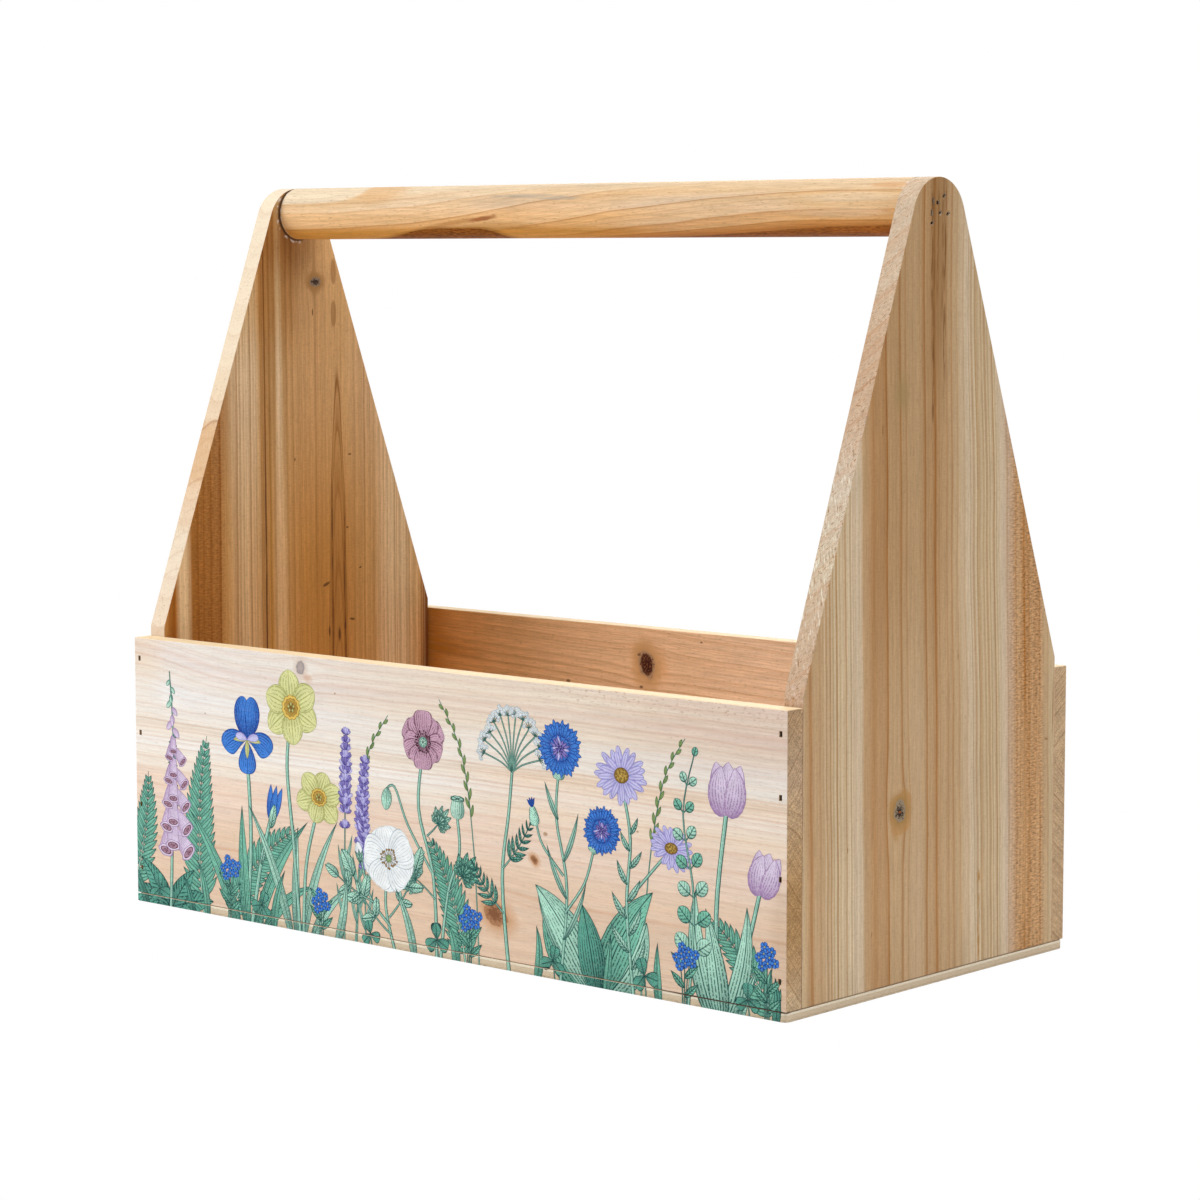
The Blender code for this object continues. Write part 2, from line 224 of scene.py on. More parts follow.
class Grain:
    """A board's grain frame in a material, in millimetres, and the patterns drawn in it."""

    def __init__(self, graph, across, along, depth, origin_mm=(0, 0, 0)):
        self.graph = graph
        coordinates = graph.node("TexCoord", {})
        split = graph.node("SeparateXYZ", {"Vector": graph.out(coordinates, "Object")})
        places = [graph.out(split, axis) * 1000 - shift for axis, shift in zip("XYZ", origin_mm)]
        self.w, self.l, self.d = (places["XYZ".index(axis)] for axis in (across, along, depth))
        facing = graph.node("SeparateXYZ", {"Vector": graph.out(coordinates, "Normal")})
        self.facing = {axis: graph.out(facing, axis) for axis in "XYZ"}
        self.end_grain = fade(abs(self.facing[along]), *FACING_END)
        self.top_face = fade(self.facing["Z"], *FACING_UP)

    def noise(self, w_mm, l_mm, d_mm=None, seed=0.0, detail=2.0, roughness=0.5, field=None):
        """Noise from 0 to 1 whose blotches are about w_mm by l_mm by d_mm. field stands in for W."""
        across = self.w if field is None else field
        along = self.l / l_mm + seed * 1.7
        return self.graph.noise(across / w_mm + seed, along, self.d / (d_mm or w_mm), detail, roughness)

    def wobble(self, size_mm, w_mm, l_mm, seed=0.0):
        """A gentle shift across the grain, up to about size_mm each way."""
        return (self.noise(w_mm, l_mm, seed=seed, detail=1.0) - 0.5) * (2.0 * size_mm)

    def round_knot(self, field, w, l, radius, stretch):
        """The field bent so that the grain flows round a knot."""
        across = self.w - w
        along = (self.l - l) / stretch
        squared = across * across + along * along + radius * radius * 0.3
        return field - across * (radius * radius) / squared

    def distance(self, w, l, w_mm, l_mm, turn=0.0, *, rough, seed):
        """Distance from a spot, in shares of its half sizes."""
        across, along = self.w - w, self.l - l
        c, s = heading(turn)
        a = (across * c + along * s) / w_mm
        b = (along * c - across * s) / l_mm
        uneven = self.noise(w_mm * 0.9, l_mm * 0.9, seed=seed, detail=3.0) - 0.5
        return self.graph.math("SQRT", a * a + b * b) + uneven * rough

    def spot(self, w, l, w_mm, l_mm, turn=0.0, *, rough, seed, hard=0.5):
        """A soft-edged spot: 1 inside, 0 outside."""
        far = self.distance(w, l, w_mm, l_mm, turn, rough=rough, seed=seed)
        return fade(far, 1.0 + (1.0 - hard) * 0.4, hard)

    def lines(self, field, lines, span):
        """Rings' dark ends along the grain: each rises slowly and stops at once.

        lines are (place, width, strength). A ramp has room for RAMP_STOPS, so several share them.
        """
        profile = ((-3.2, 0), (-0.7, 0.35), (0, 1), (0.9, 0))
        room = RAMP_STOPS // len(profile)
        total = None
        for start in range(0, len(lines), room):
            stops = [
                (place + width * away, (strength * share,) * 3)
                for place, width, strength in lines[start:start + room] for away, share in profile
            ]
            part = self.graph.ramp(field, span, stops)
            total = part if total is None else highest(total, part)
        return total

    def rings(self, field, spacing, jitter, sharpness, seed):
        """Late wood: rises slowly to each line and ends there at once. Some rings are fainter."""
        graph, run = self.graph, 2.7  # how many rings the spacing drifts over
        uneven = graph.node("TexNoise", {"W": field / (spacing * run) + seed, "Scale": 1.0}, noise_dimensions="1D")
        count = field / spacing + (graph.out(uneven, "Fac") - 0.5) * (2.0 * jitter * run)
        phase = graph.math("FRACT", count)
        number = graph.math("FLOOR", count)
        chance = graph.node("TexWhiteNoise", {"W": number + seed}, noise_dimensions="1D")
        late = phase ** sharpness
        return late * fade(phase, 1.0, 0.93) * (graph.out(chance, "Value") * 0.7 + 0.3)

    def streaks(self, colour, amount, seed=0.0):
        """Fibres along the grain, fine and broad, a little lighter and darker."""
        fine = self.noise(0.8, 16, seed=seed + 3.1, detail=4.0, roughness=0.75)
        broad = self.noise(3.0, 90, seed=seed + 7.7, detail=3.0, roughness=0.6)
        shade = 1.0 + (fine - 0.5) * (2.2 * amount) + (broad - 0.5) * amount
        colour.tint(shade)
        pores = fade(self.noise(0.45, 3.2, seed=seed + 5.5, detail=1.0), 0.62, 0.72)
        colour.over(PORE, pores * amount)

    def knot(self, colour, w, l, radius, stretch, tones, turn=0.0, *, seed):
        """A knot: a halo that fades out, a ring, and a cracked core. tones are theirs."""
        halo, ring, core = tones
        far = self.distance(w, l, radius, radius * stretch, turn, rough=0.8, seed=seed)
        grit = self.noise(radius * 0.3, radius * 0.3, seed=seed + 0.7, detail=4.0, roughness=0.75) - 0.5
        colour.over(halo, fade(far + grit * 0.8, 1.0, 2.3, 0.8, 0.0))
        colour.over(ring, fade(far, 0.94, 1.08, 0.92, 0.0))
        colour.over(halo, fade(far, 0.98, 1.06) * fade(far, 1.1, 1.3, 0.7, 0.0))
        colour.over(core, fade(far + grit * 2.6, 0.35, 0.85, 0.95, 0.0))

    def plane_marks(self):
        """The surface's height where fine fibres stand up."""
        return self.noise(0.22, 6.0, seed=11.0, detail=1.0)

    def surface(self, colour, roughness=0.62, specular=0.1, depth=0.00004):
        """Ends the material in bare planed wood."""
        return self.graph.surface(colour, roughness, self.plane_marks(), depth, specular)


class Dowel(Grain):
    """The handle's grain, drawn on the unrolled dowel: arc runs up from its front, in mm."""

    def __init__(self, graph):
        super().__init__(graph, "Z", "X", "Y", (0, HANDLE_Y_MM, HANDLE_Z_MM))
        self.arc = graph.math("ARCTAN2", self.w, 0.0 - self.d) * HANDLE_RADIUS_MM

    def ragged(self, far, a, a_mm, x_mm, rough):
        return far + (self.noise(a_mm, x_mm * 0.5, seed=a, detail=3.0) - 0.5) * rough

    def rounded(self, a, x, a_mm, x_mm, rough):
        """Distance from the middle of a patch with rounded corners, in shares of its half sizes."""
        far = squircle(((self.arc - a) / a_mm) ** 2, ((self.l - x) / x_mm) ** 2)
        return self.ragged(far, a, a_mm, x_mm, rough)

    def patch(self, a, x, a_mm, x_mm, rough, arc=None):
        """A soft-edged patch, 1 inside and 0 outside. arc stands in for the dowel's own."""
        rise = (self.arc if arc is None else arc) - a
        far = self.graph.math("SQRT", (rise / a_mm) ** 2 + ((self.l - x) / x_mm) ** 2)
        return fade(self.ragged(far, a, a_mm, x_mm, rough), 1.1, 0.4)


def squircle(first, second):
    """Distance from the middle of a rounded rectangle, from the squares of two distances across it."""
    graph = first.graph
    return graph.math("SQRT", graph.math("SQRT", first ** 2 + second ** 2))


# The faces that the camera sees, which D runs from, in mm
FRONT_FACE_MM = -100.5
BACK_FACE_MM = 91.5
RIGHT_FACE_MM = 200
LEFT_FACE_MM = -190

# Spans in mm over which ramps are drawn
BOARD_SPAN = (-10, 140)
PANEL_SPAN = (-100, 100)
HANDLE_SPAN = (-48, 42)
EDGE_SPAN = (100, 360)
LENGTH_SPAN = (-200, 200)
JOINT_MM = (86.9, 87.3)  # where a board's upper strip begins

# Tones of the bare wood, lightest first, then of what lies in it or on it
MILK = (0.86, 0.76, 0.66)
CREAM = (0.84, 0.7, 0.56)
BLUSH = (0.81, 0.65, 0.53)
PEACH = (0.78, 0.59, 0.44)
BONE = (0.76, 0.58, 0.4)
STRAW = (0.69, 0.5, 0.3)
HONEY = (0.62, 0.4, 0.22)
CLAY = (0.58, 0.34, 0.17)
RUST = (0.52, 0.27, 0.11)
UMBER = (0.34, 0.16, 0.06)
BARK = (0.12, 0.055, 0.025)
PORE = (0.3, 0.15, 0.06)
SEAM = (0.09, 0.03, 0.012)
GLUE = (0.78, 0.72, 0.68)


def end_grain_colour(grain, field):
    """Sawn ends: slanting rings, cut pores and the saw's fuzz."""
    graph = grain.graph
    rings = grain.rings(field, 1.7, 0.45, 1.5, seed=3.0)
    colour = graph.mix((0.6, 0.42, 0.25), (0.34, 0.19, 0.09), rings * 0.95)
    blotch = grain.noise(5, 40, 6, seed=14.0, detail=3.0)
    colour.tint(1.0 + (blotch - 0.5) * 0.45)
    fuzz = grain.noise(0.5, 40, 0.9, seed=15.0, detail=2.0, roughness=0.7)
    colour.tint(1.0 + (fuzz - 0.5) * 1.3)
    pits = fade(grain.noise(0.6, 40, 0.6, seed=16.0, detail=1.0), 0.66, 0.74)
    colour.over((0.16, 0.08, 0.04), pits * 0.8)
    return colour


def top_edge(grain):
    """A board's planed top edge: paler and yellower than its faces, with long rings."""
    field = grain.d + grain.wobble(1.2, 40, 90, seed=36.0)
    rings = grain.rings(field, 2.4, 0.4, 2.4, seed=37.0)
    colour = grain.graph.mix((0.84, 0.66, 0.42), (0.66, 0.4, 0.19), rings * 0.55)
    grain.streaks(colour, 0.22, seed=38.0)
    return colour


def front_board_wood():
    """Pale, blushing wood with long reddish lines. Two strips, the joint about 87 mm up."""
    graph = Graph("front_board_wood")
    grain = Grain(graph, "Z", "X", "Y", (0, FRONT_FACE_MM, 0))
    rise = fade(grain.w, 88, 124, 0.0, 9.0) * fade(grain.l, -115, -205)
    wave = fade(grain.w, 84, 92, 0.25, 1.0)
    field = grain.w - rise + (grain.wobble(2.6, 60, 120) + grain.wobble(0.9, 25, 45, seed=4.0)) * wave
    field = grain.round_knot(field, 123, -84.5, 3.6, 2.2)
    field = grain.round_knot(field, 24, 38, 6.0, 1.6)
    lean = fade(grain.w, 60, 86, 1.15, 0.45) - fade(grain.w, *JOINT_MM) * fade(grain.w, 88, 102, 0.95, 1.65)
    field = field + grain.d * lean
    bands = [
        (0, BLUSH), (8, PEACH), (18, PEACH), (30, (0.75, 0.57, 0.43)), (40, PEACH), (52, BLUSH), (62, BLUSH),
        (72, CREAM), (80, MILK), (85.5, CREAM), (88, CREAM), (92, MILK), (101, MILK), (108, CREAM), (115, BLUSH),
        (122, CREAM), (130, BLUSH),
    ]
    colour = graph.ramp(field, BOARD_SPAN, bands, "EASE")
    colour.over((0.66, 0.4, 0.24), grain.rings(field, 2.1, 0.4, 2.4, seed=2.0) * 0.34)
    lines = [
        (6.5, 0.8, 0.3), (11, 0.9, 0.25), (17.5, 0.8, 0.3), (23, 0.7, 0.25), (29, 0.8, 0.3), (33, 1.1, 0.5),
        (38.5, 0.7, 0.2), (45.5, 0.8, 0.25), (52.3, 0.9, 0.35), (58.5, 0.8, 0.3), (66.5, 1.0, 0.4),
        (72, 0.8, 0.35), (77.3, 0.5, 0.4), (80.2, 0.4, 0.4), (82.0, 0.35, 0.5), (84.0, 0.35, 0.6),
        (86.2, 0.3, 0.65), (87.6, 0.35, 0.8), (89.6, 0.4, 0.6), (95.5, 0.6, 0.3), (100.5, 0.8, 0.22),
        (105, 0.8, 0.3), (108.6, 0.6, 0.35), (112.4, 0.6, 0.45), (116.8, 0.6, 0.5), (120.5, 0.6, 0.45),
        (124.6, 0.7, 0.4),
    ]
    patchy = grain.noise(14, 70, seed=5.0) * 1.1 + 0.35
    colour.over((0.58, 0.29, 0.15), grain.lines(field, lines, BOARD_SPAN) * patchy * 0.9)
    grain.streaks(colour, 0.2)
    grey_knot = ((0.7, 0.53, 0.4), (0.33, 0.26, 0.23), (0.46, 0.34, 0.28))
    brown_knot = ((0.62, 0.36, 0.2), (0.4, 0.19, 0.09), (0.22, 0.09, 0.04))
    grain.knot(colour, 123, -84.5, 3.3, 0.85, grey_knot, turn=12, seed=1.3)
    grain.knot(colour, 24, 38, 5.0, 1.5, brown_knot, turn=20, seed=2.0)
    grain.knot(colour, 51, 61, 1.6, 1.5, brown_knot, turn=40, seed=3.0)
    for z, x, size in ((63, 67.5, 1.0), (114.5, -97, 0.6), (113, -62, 0.5), (96, -150, 0.4), (70, 120, 0.5)):
        colour.over(UMBER, grain.spot(z, x, size, size * 1.5, rough=0.5, seed=size) * 0.7)
    chewed = fade(grain.noise(0.9, 2.4, seed=12.0, detail=3.0), 0.56, 0.68) * fade(grain.w, 117, 126)
    colour.over((0.5, 0.3, 0.17), chewed * fade(grain.l, 40, 100, 0.12, 0.6))
    calm = fade(grain.l, -194, -172) * fade(grain.l, 30, -120) * fade(grain.w, 90, 108)
    colour.tint((1.0, 1.07, 1.18), calm)
    smudge = grain.spot(118.5, -80, 2.2, 3.4, turn=20, rough=1.0, seed=7.0, hard=0.1)
    colour.over((0.62, 0.33, 0.18), smudge * 0.6)
    colour.tint((0.995, 1.04, 1.08))
    colour.tint((1.045, 0.995, 0.96), fade(grain.w, 92, 84))
    colour.tint((1.0, 1.09, 1.18), fade(grain.l, 60, -10) * fade(grain.w, 62, 70) * fade(grain.w, 92, 87))
    colour.tint((0.95, 0.92, 0.93), fade(grain.l, 90, 190) * fade(grain.w, 92, 104))
    colour.tint((0.98, 0.955, 0.94), fade(grain.l, 80, 130) * fade(grain.w, 104, 114))
    colour.tint((0.88, 0.86, 0.83), fade(grain.l, 187, 197) * fade(grain.w, 64, 48))
    # The lowest strip, just above the base: towards the left a painted highlight, lighter to make up for the
    # shading of the rounded edge; towards the right the dark joint line against the base.
    seam = fade(grain.w, 4.6, 4.3)
    colour.over((0.92, 0.8, 0.66), seam * fade(grain.l, 60, 120, 0.7, 0.0))
    colour.over(SEAM, seam * fade(grain.l, 122, 150, 0.0, 0.9))
    colour.over(top_edge(grain), grain.top_face)
    end = end_grain_colour(grain, field)
    slant = grain.w + grain.d * fade(grain.w, *JOINT_MM, -0.9, 0.9)
    rays = grain.noise(0.45, 40, 6.0, seed=89.0, field=slant)
    end.tint(1.0 + (rays - 0.5) * 0.9)
    end.over((0.2, 0.1, 0.04), fade(grain.noise(0.7, 40, 0.7, seed=90.0, detail=1.0), 0.62, 0.7) * 0.7)
    end.tint(graph.ramp(grain.w, (0, 128), [
        (8, (0.91, 0.96, 1.0)), (22, (0.76, 0.7, 0.61)), (35, (0.68, 0.59, 0.44)), (55, (0.7, 0.6, 0.45)),
        (70, (0.78, 0.73, 0.65)), (80, (0.83, 0.81, 0.78)), (90, (0.8, 0.8, 0.8)), (100, (0.77, 0.77, 0.83)),
        (112, (0.73, 0.72, 0.74)), (122, (0.69, 0.66, 0.63)),
    ]))
    end.tint(1.18)
    colour.over(end, grain.end_grain)
    return grain.surface(colour)


def back_board_wood():
    """Warm tan with one dark knot. Its inner face is browner and darker towards the left end, a painted shadow of
    the corner.
    """
    graph = Graph("back_board_wood")
    grain = Grain(graph, "Z", "X", "Y", (0, BACK_FACE_MM, 0))
    field = grain.w + grain.l * 0.045 + grain.wobble(1.6, 40, 110, seed=9.0)
    field = grain.round_knot(field, 110.5, -40, 5.0, 1.4)
    field = field + grain.d * fade(grain.w, *JOINT_MM, 0.8, -0.7)
    # The inner face's tone along the board holds painted light and shade. A painted shadow darkens the left end,
    # where the left panel shades the corner. The rest is lighter than the wood, standing in for the light that the
    # front board keeps off.
    inner_tone_light_and_shade = graph.ramp(grain.l, LENGTH_SPAN, [
        (-200, (0.36, 0.13, 0.01)), (-184, (0.62, 0.26, 0.05)), (-168, (0.86, 0.44, 0.16)),
        (-140, (0.92, 0.56, 0.27)), (-90, (0.91, 0.58, 0.33)), (-20, (0.88, 0.58, 0.36)), (40, (0.89, 0.62, 0.42)),
        (200, (0.88, 0.62, 0.42)),
    ])
    outer = fade(grain.d, 3, 6)
    outer_bands = [
        (0, STRAW), (14, HONEY), (26, STRAW), (41, BONE), (58, STRAW), (70, HONEY), (86.9, STRAW), (87.4, BONE),
        (99, (0.71, 0.52, 0.33)), (112, HONEY), (124, BONE), (138, STRAW),
    ]
    inner_tone_light_and_shade.over(graph.ramp(field, BOARD_SPAN, outer_bands, "EASE"), outer)
    old = (1.0 - outer) * fade(grain.l, -140, -186) * fade(field, 96, 98) * fade(field, 110, 101)
    inner_tone_light_and_shade.over((0.5, 0.2, 0.02), old * 0.7)
    rings = grain.rings(field, 5.2, 0.3, 3.0, seed=6.0)
    colour = graph.mix(inner_tone_light_and_shade, (0.5, 0.24, 0.09), rings * (0.85 - outer * 0.65))
    colour.over(RUST, grain.rings(field, 1.7, 0.3, 2.6, seed=8.0) * (0.5 - outer * 0.3))
    broad = grain.rings(field + grain.wobble(2.4, 30, 170, seed=18.0), 8.6, 0.45, 5.0, seed=19.0)
    colour.over((0.48, 0.24, 0.09), broad * outer * 0.75)
    grain.streaks(colour, 0.38, seed=3.0)
    glow = grain.spot(109.5, -38, 11, 11, turn=20, rough=1.2, seed=6.0, hard=0.0)
    colour.over((0.72, 0.33, 0.1), glow * 0.8)
    stain = grain.spot(114, -42, 6, 9, turn=30, rough=0.8, seed=4.0, hard=0.1)
    colour.over((0.7, 0.36, 0.12), stain * 0.6)
    dark_knot = ((0.6, 0.34, 0.15), (0.46, 0.28, 0.16), (0.09, 0.02, 0.008))
    grain.knot(colour, 110.5, -40, 7.4, 0.68, dark_knot, turn=-12, seed=5.0)
    core = grain.spot(110.5, -40, 6.0, 3.9, turn=-12, rough=0.3, seed=2.0, hard=0.8)
    cracks = fade(grain.noise(1.1, 0.9, seed=5.0, detail=3.0), 0.44, 0.78)
    colour.over(graph.mix((0.045, 0.01, 0.006), (0.34, 0.12, 0.05), cracks), core * 0.95)
    for z, x, size in ((98, -92, 1.0), (99, -43.5, 0.8), (115, -45, 0.7), (124, -5, 0.5)):
        colour.over(BARK, grain.spot(z, x, size, size * 1.7, rough=0.5, seed=size) * 0.8)
    colour.tint(0.99)
    colour.over(top_edge(grain), grain.top_face)
    colour.over(end_grain_colour(grain, field), grain.end_grain)
    return grain.surface(colour)


def panel_frame(name, face_mm):
    """An end panel's graph and grain, with D from the face that the camera sees into the panel."""
    graph = Graph(name)
    grain = Grain(graph, "Y", "Z", "X", (face_mm, 0, 0))
    grain.d = grain.d * -1
    return graph, grain


def right_panel_wood():
    """Tan wood with long reddish lines, fine pale bands, a rust band at the back and one small knot."""
    graph, grain = panel_frame("right_panel_wood", RIGHT_FACE_MM)
    rise = [(0, (0.0,) * 3), (50, (0.12,) * 3), (100, (0.28,) * 3), (200, (0.62,) * 3), (300, (1.0,) * 3)]
    drift = 1.8 - graph.ramp(grain.l, (0, 340), rise, "EASE") * 6.4
    strength = fade(grain.w, 8, 26, 1.0, 1.7) * fade(grain.w, 44, 60, 1.0, 0.75)
    field = grain.w - drift * strength + grain.wobble(0.8, 50, 120, seed=1.0) + grain.wobble(0.3, 10, 40, seed=2.0)
    field = grain.round_knot(field, -24, 78, 4.0, 2.2) + grain.d * 0.45
    bands = [
        (-92, STRAW), (-88, HONEY), (-85, CLAY), (-82.5, HONEY), (-73, HONEY), (-69, STRAW),
        (-60, (0.74, 0.55, 0.35)), (-56, BONE), (-51, BONE), (-48.5, HONEY), (-43, (0.57, 0.32, 0.15)),
        (-34, CLAY), (-31, HONEY), (-22, HONEY), (-12, (0.65, 0.44, 0.26)), (-6.5, HONEY), (2, CLAY), (5, HONEY),
        (14, HONEY), (18, (0.65, 0.44, 0.25)), (23, (0.72, 0.53, 0.34)), (29, BONE), (33, STRAW), (47, STRAW),
        (51, BONE), (54, (0.71, 0.53, 0.37)), (58, (0.63, 0.41, 0.26)), (62, CLAY), (68, RUST), (80, CLAY),
        (83, HONEY), (87, STRAW),
    ]
    colour = graph.ramp(field, PANEL_SPAN, bands)
    fine = fade(field, -80, -72) * fade(field, -51, -58)
    fine = highest(fine, fade(field, 27, 31) * fade(field, 52, 46))
    rings = grain.rings(field, 2.3, 0.35, 1.6, seed=5.0)
    colour.over((0.46, 0.25, 0.09), rings * (fine * 0.85 + 0.3))
    pale = grain.rings(field + 1.1, 2.3, 0.35, 2.2, seed=5.0)
    colour.over((0.88, 0.76, 0.56), pale * fine * 0.75)
    lines = [
        (-84.7, 1.3, 0.55), (-78.5, 0.5, 0.4), (-71.5, 0.6, 0.5), (-67, 0.5, 0.5), (-61, 0.5, 0.5),
        (-54.5, 0.4, 0.3), (-48, 0.6, 0.35), (-41, 0.8, 0.4), (-32.2, 0.8, 1.0), (-22.5, 0.6, 0.8),
        (-18.8, 0.4, 0.3), (-13.5, 0.4, 0.25), (-5.7, 0.7, 1.0), (1.8, 0.8, 1.0), (5, 0.4, 0.4), (10.5, 0.6, 0.6),
        (14, 0.5, 0.5), (18.6, 0.5, 0.45), (24, 0.5, 0.4), (31.5, 0.6, 0.7), (35, 0.5, 0.6), (38.4, 0.4, 0.4),
        (41.5, 0.5, 0.5), (46, 0.5, 0.45), (55.5, 0.5, 0.35), (61.5, 0.5, 0.6), (64.6, 0.4, 0.5), (68, 0.6, 0.8),
        (71.5, 0.5, 0.8), (77, 0.5, 0.6), (79.5, 0.6, 0.7), (86, 0.5, 0.4),
    ]
    patchy = grain.noise(6, 90, seed=6.0) * 0.9 + 0.5
    colour.over((0.4, 0.135, 0.01), grain.lines(field, lines, PANEL_SPAN) * patchy * 1.15)
    fuzz = fade(field, 52, 64) * fade(field, 85, 79)
    curl = grain.noise(2.6, 0.75, seed=7.0, detail=2.0, roughness=0.6)
    colour.tint(0.95 + (curl - 0.5) * 2.5, fuzz * 0.85 + 0.1)
    gaps = fade(grain.noise(2.4, 110, seed=17.0, detail=2.0), 0.46, 0.62) * fuzz
    colour.over((0.66, 0.42, 0.22), gaps * 0.4)
    resin = fade(abs(grain.w - 34.3), 1.4, 0.4) * fade(grain.l, 56, 42)
    colour.over((0.45, 0.2, 0.03), resin * fade(grain.noise(1, 7, seed=8.0), 0.42, 0.62) * 0.8)
    grain.streaks(colour, 0.3, seed=1.0)
    for y, low in ((-4.4, 292), (-3.0, 245), (4.6, 262), (3.0, 296), (-0.4, 300)):
        near = fade(abs(grain.w - y + grain.wobble(0.8, 6, 18, seed=y)), 1.2, 0.2)
        streak = near * fade(grain.l, low - 30, low + 14) * fade(grain.l, 336, 343, 1.0, 0.5)
        broken = fade(grain.noise(1.0, 11, seed=y), 0.36, 0.6)
        colour.over((0.17, 0.06, 0.015), streak * broken * 0.9)
    crown = grain.spot(0, 312, 6.6, 66, rough=0.5, seed=3.0, hard=0.3)
    colour.over((0.42, 0.22, 0.085), crown * 0.6)
    colour.over((0.46, 0.33, 0.15), grain.spot(-25, 254, 6, 9, rough=0.7, seed=5.0, hard=0.1) * 0.6)
    for y, z, w, l, turn in ((83, 155, 1.6, 0.6, 10), (85, 97, 1.8, 0.6, -8), (-43, 28, 0.4, 1.6, 0),
                             (90, 112, 0.5, 16, 0), (-60, 66, 0.4, 1.5, 0), (17, 140, 0.4, 1.8, 0),
                             (-38, 239, 0.5, 3, 0)):
        colour.over(UMBER, grain.spot(y, z, w, l, turn, rough=0.5, seed=y, hard=0.4) * 0.75)
    stain = grain.spot(-24, 76.5, 8.6, 10, rough=1.3, seed=9.0, hard=0.75)
    colour.over((0.56, 0.27, 0.075), stain * 0.62)
    knot_tones = ((0.44, 0.24, 0.08), (0.36, 0.27, 0.18), (0.03, 0.014, 0.01))
    grain.knot(colour, -24, 78, 4.2, 1.1, knot_tones, seed=2.0)
    colour.over((0.34, 0.1, 0.03), grain.spot(-24, 77.5, 1.2, 0.6, rough=0.5, seed=3.0) * 0.9)
    colour.tint((0.895, 0.92, 0.93), 1.0 - fuzz)
    dusk = fade(grain.w, -52, -38) * fade(grain.w, 12, 2) * fade(grain.l, 110, 190)
    colour.tint((0.88, 0.82, 0.73), dusk)
    # Painted light: darker towards the top and lighter near the bottom, where the floor throws more light back.
    colour.tint(0.95, fade(grain.l, 110, 335))
    colour.tint((1.08, 1.11, 1.14), fade(grain.l, 85, 30))
    colour.over(panel_edge(grain, right=True), fade(abs(grain.facing["X"]), *FACING_ASIDE))
    return grain.surface(colour)


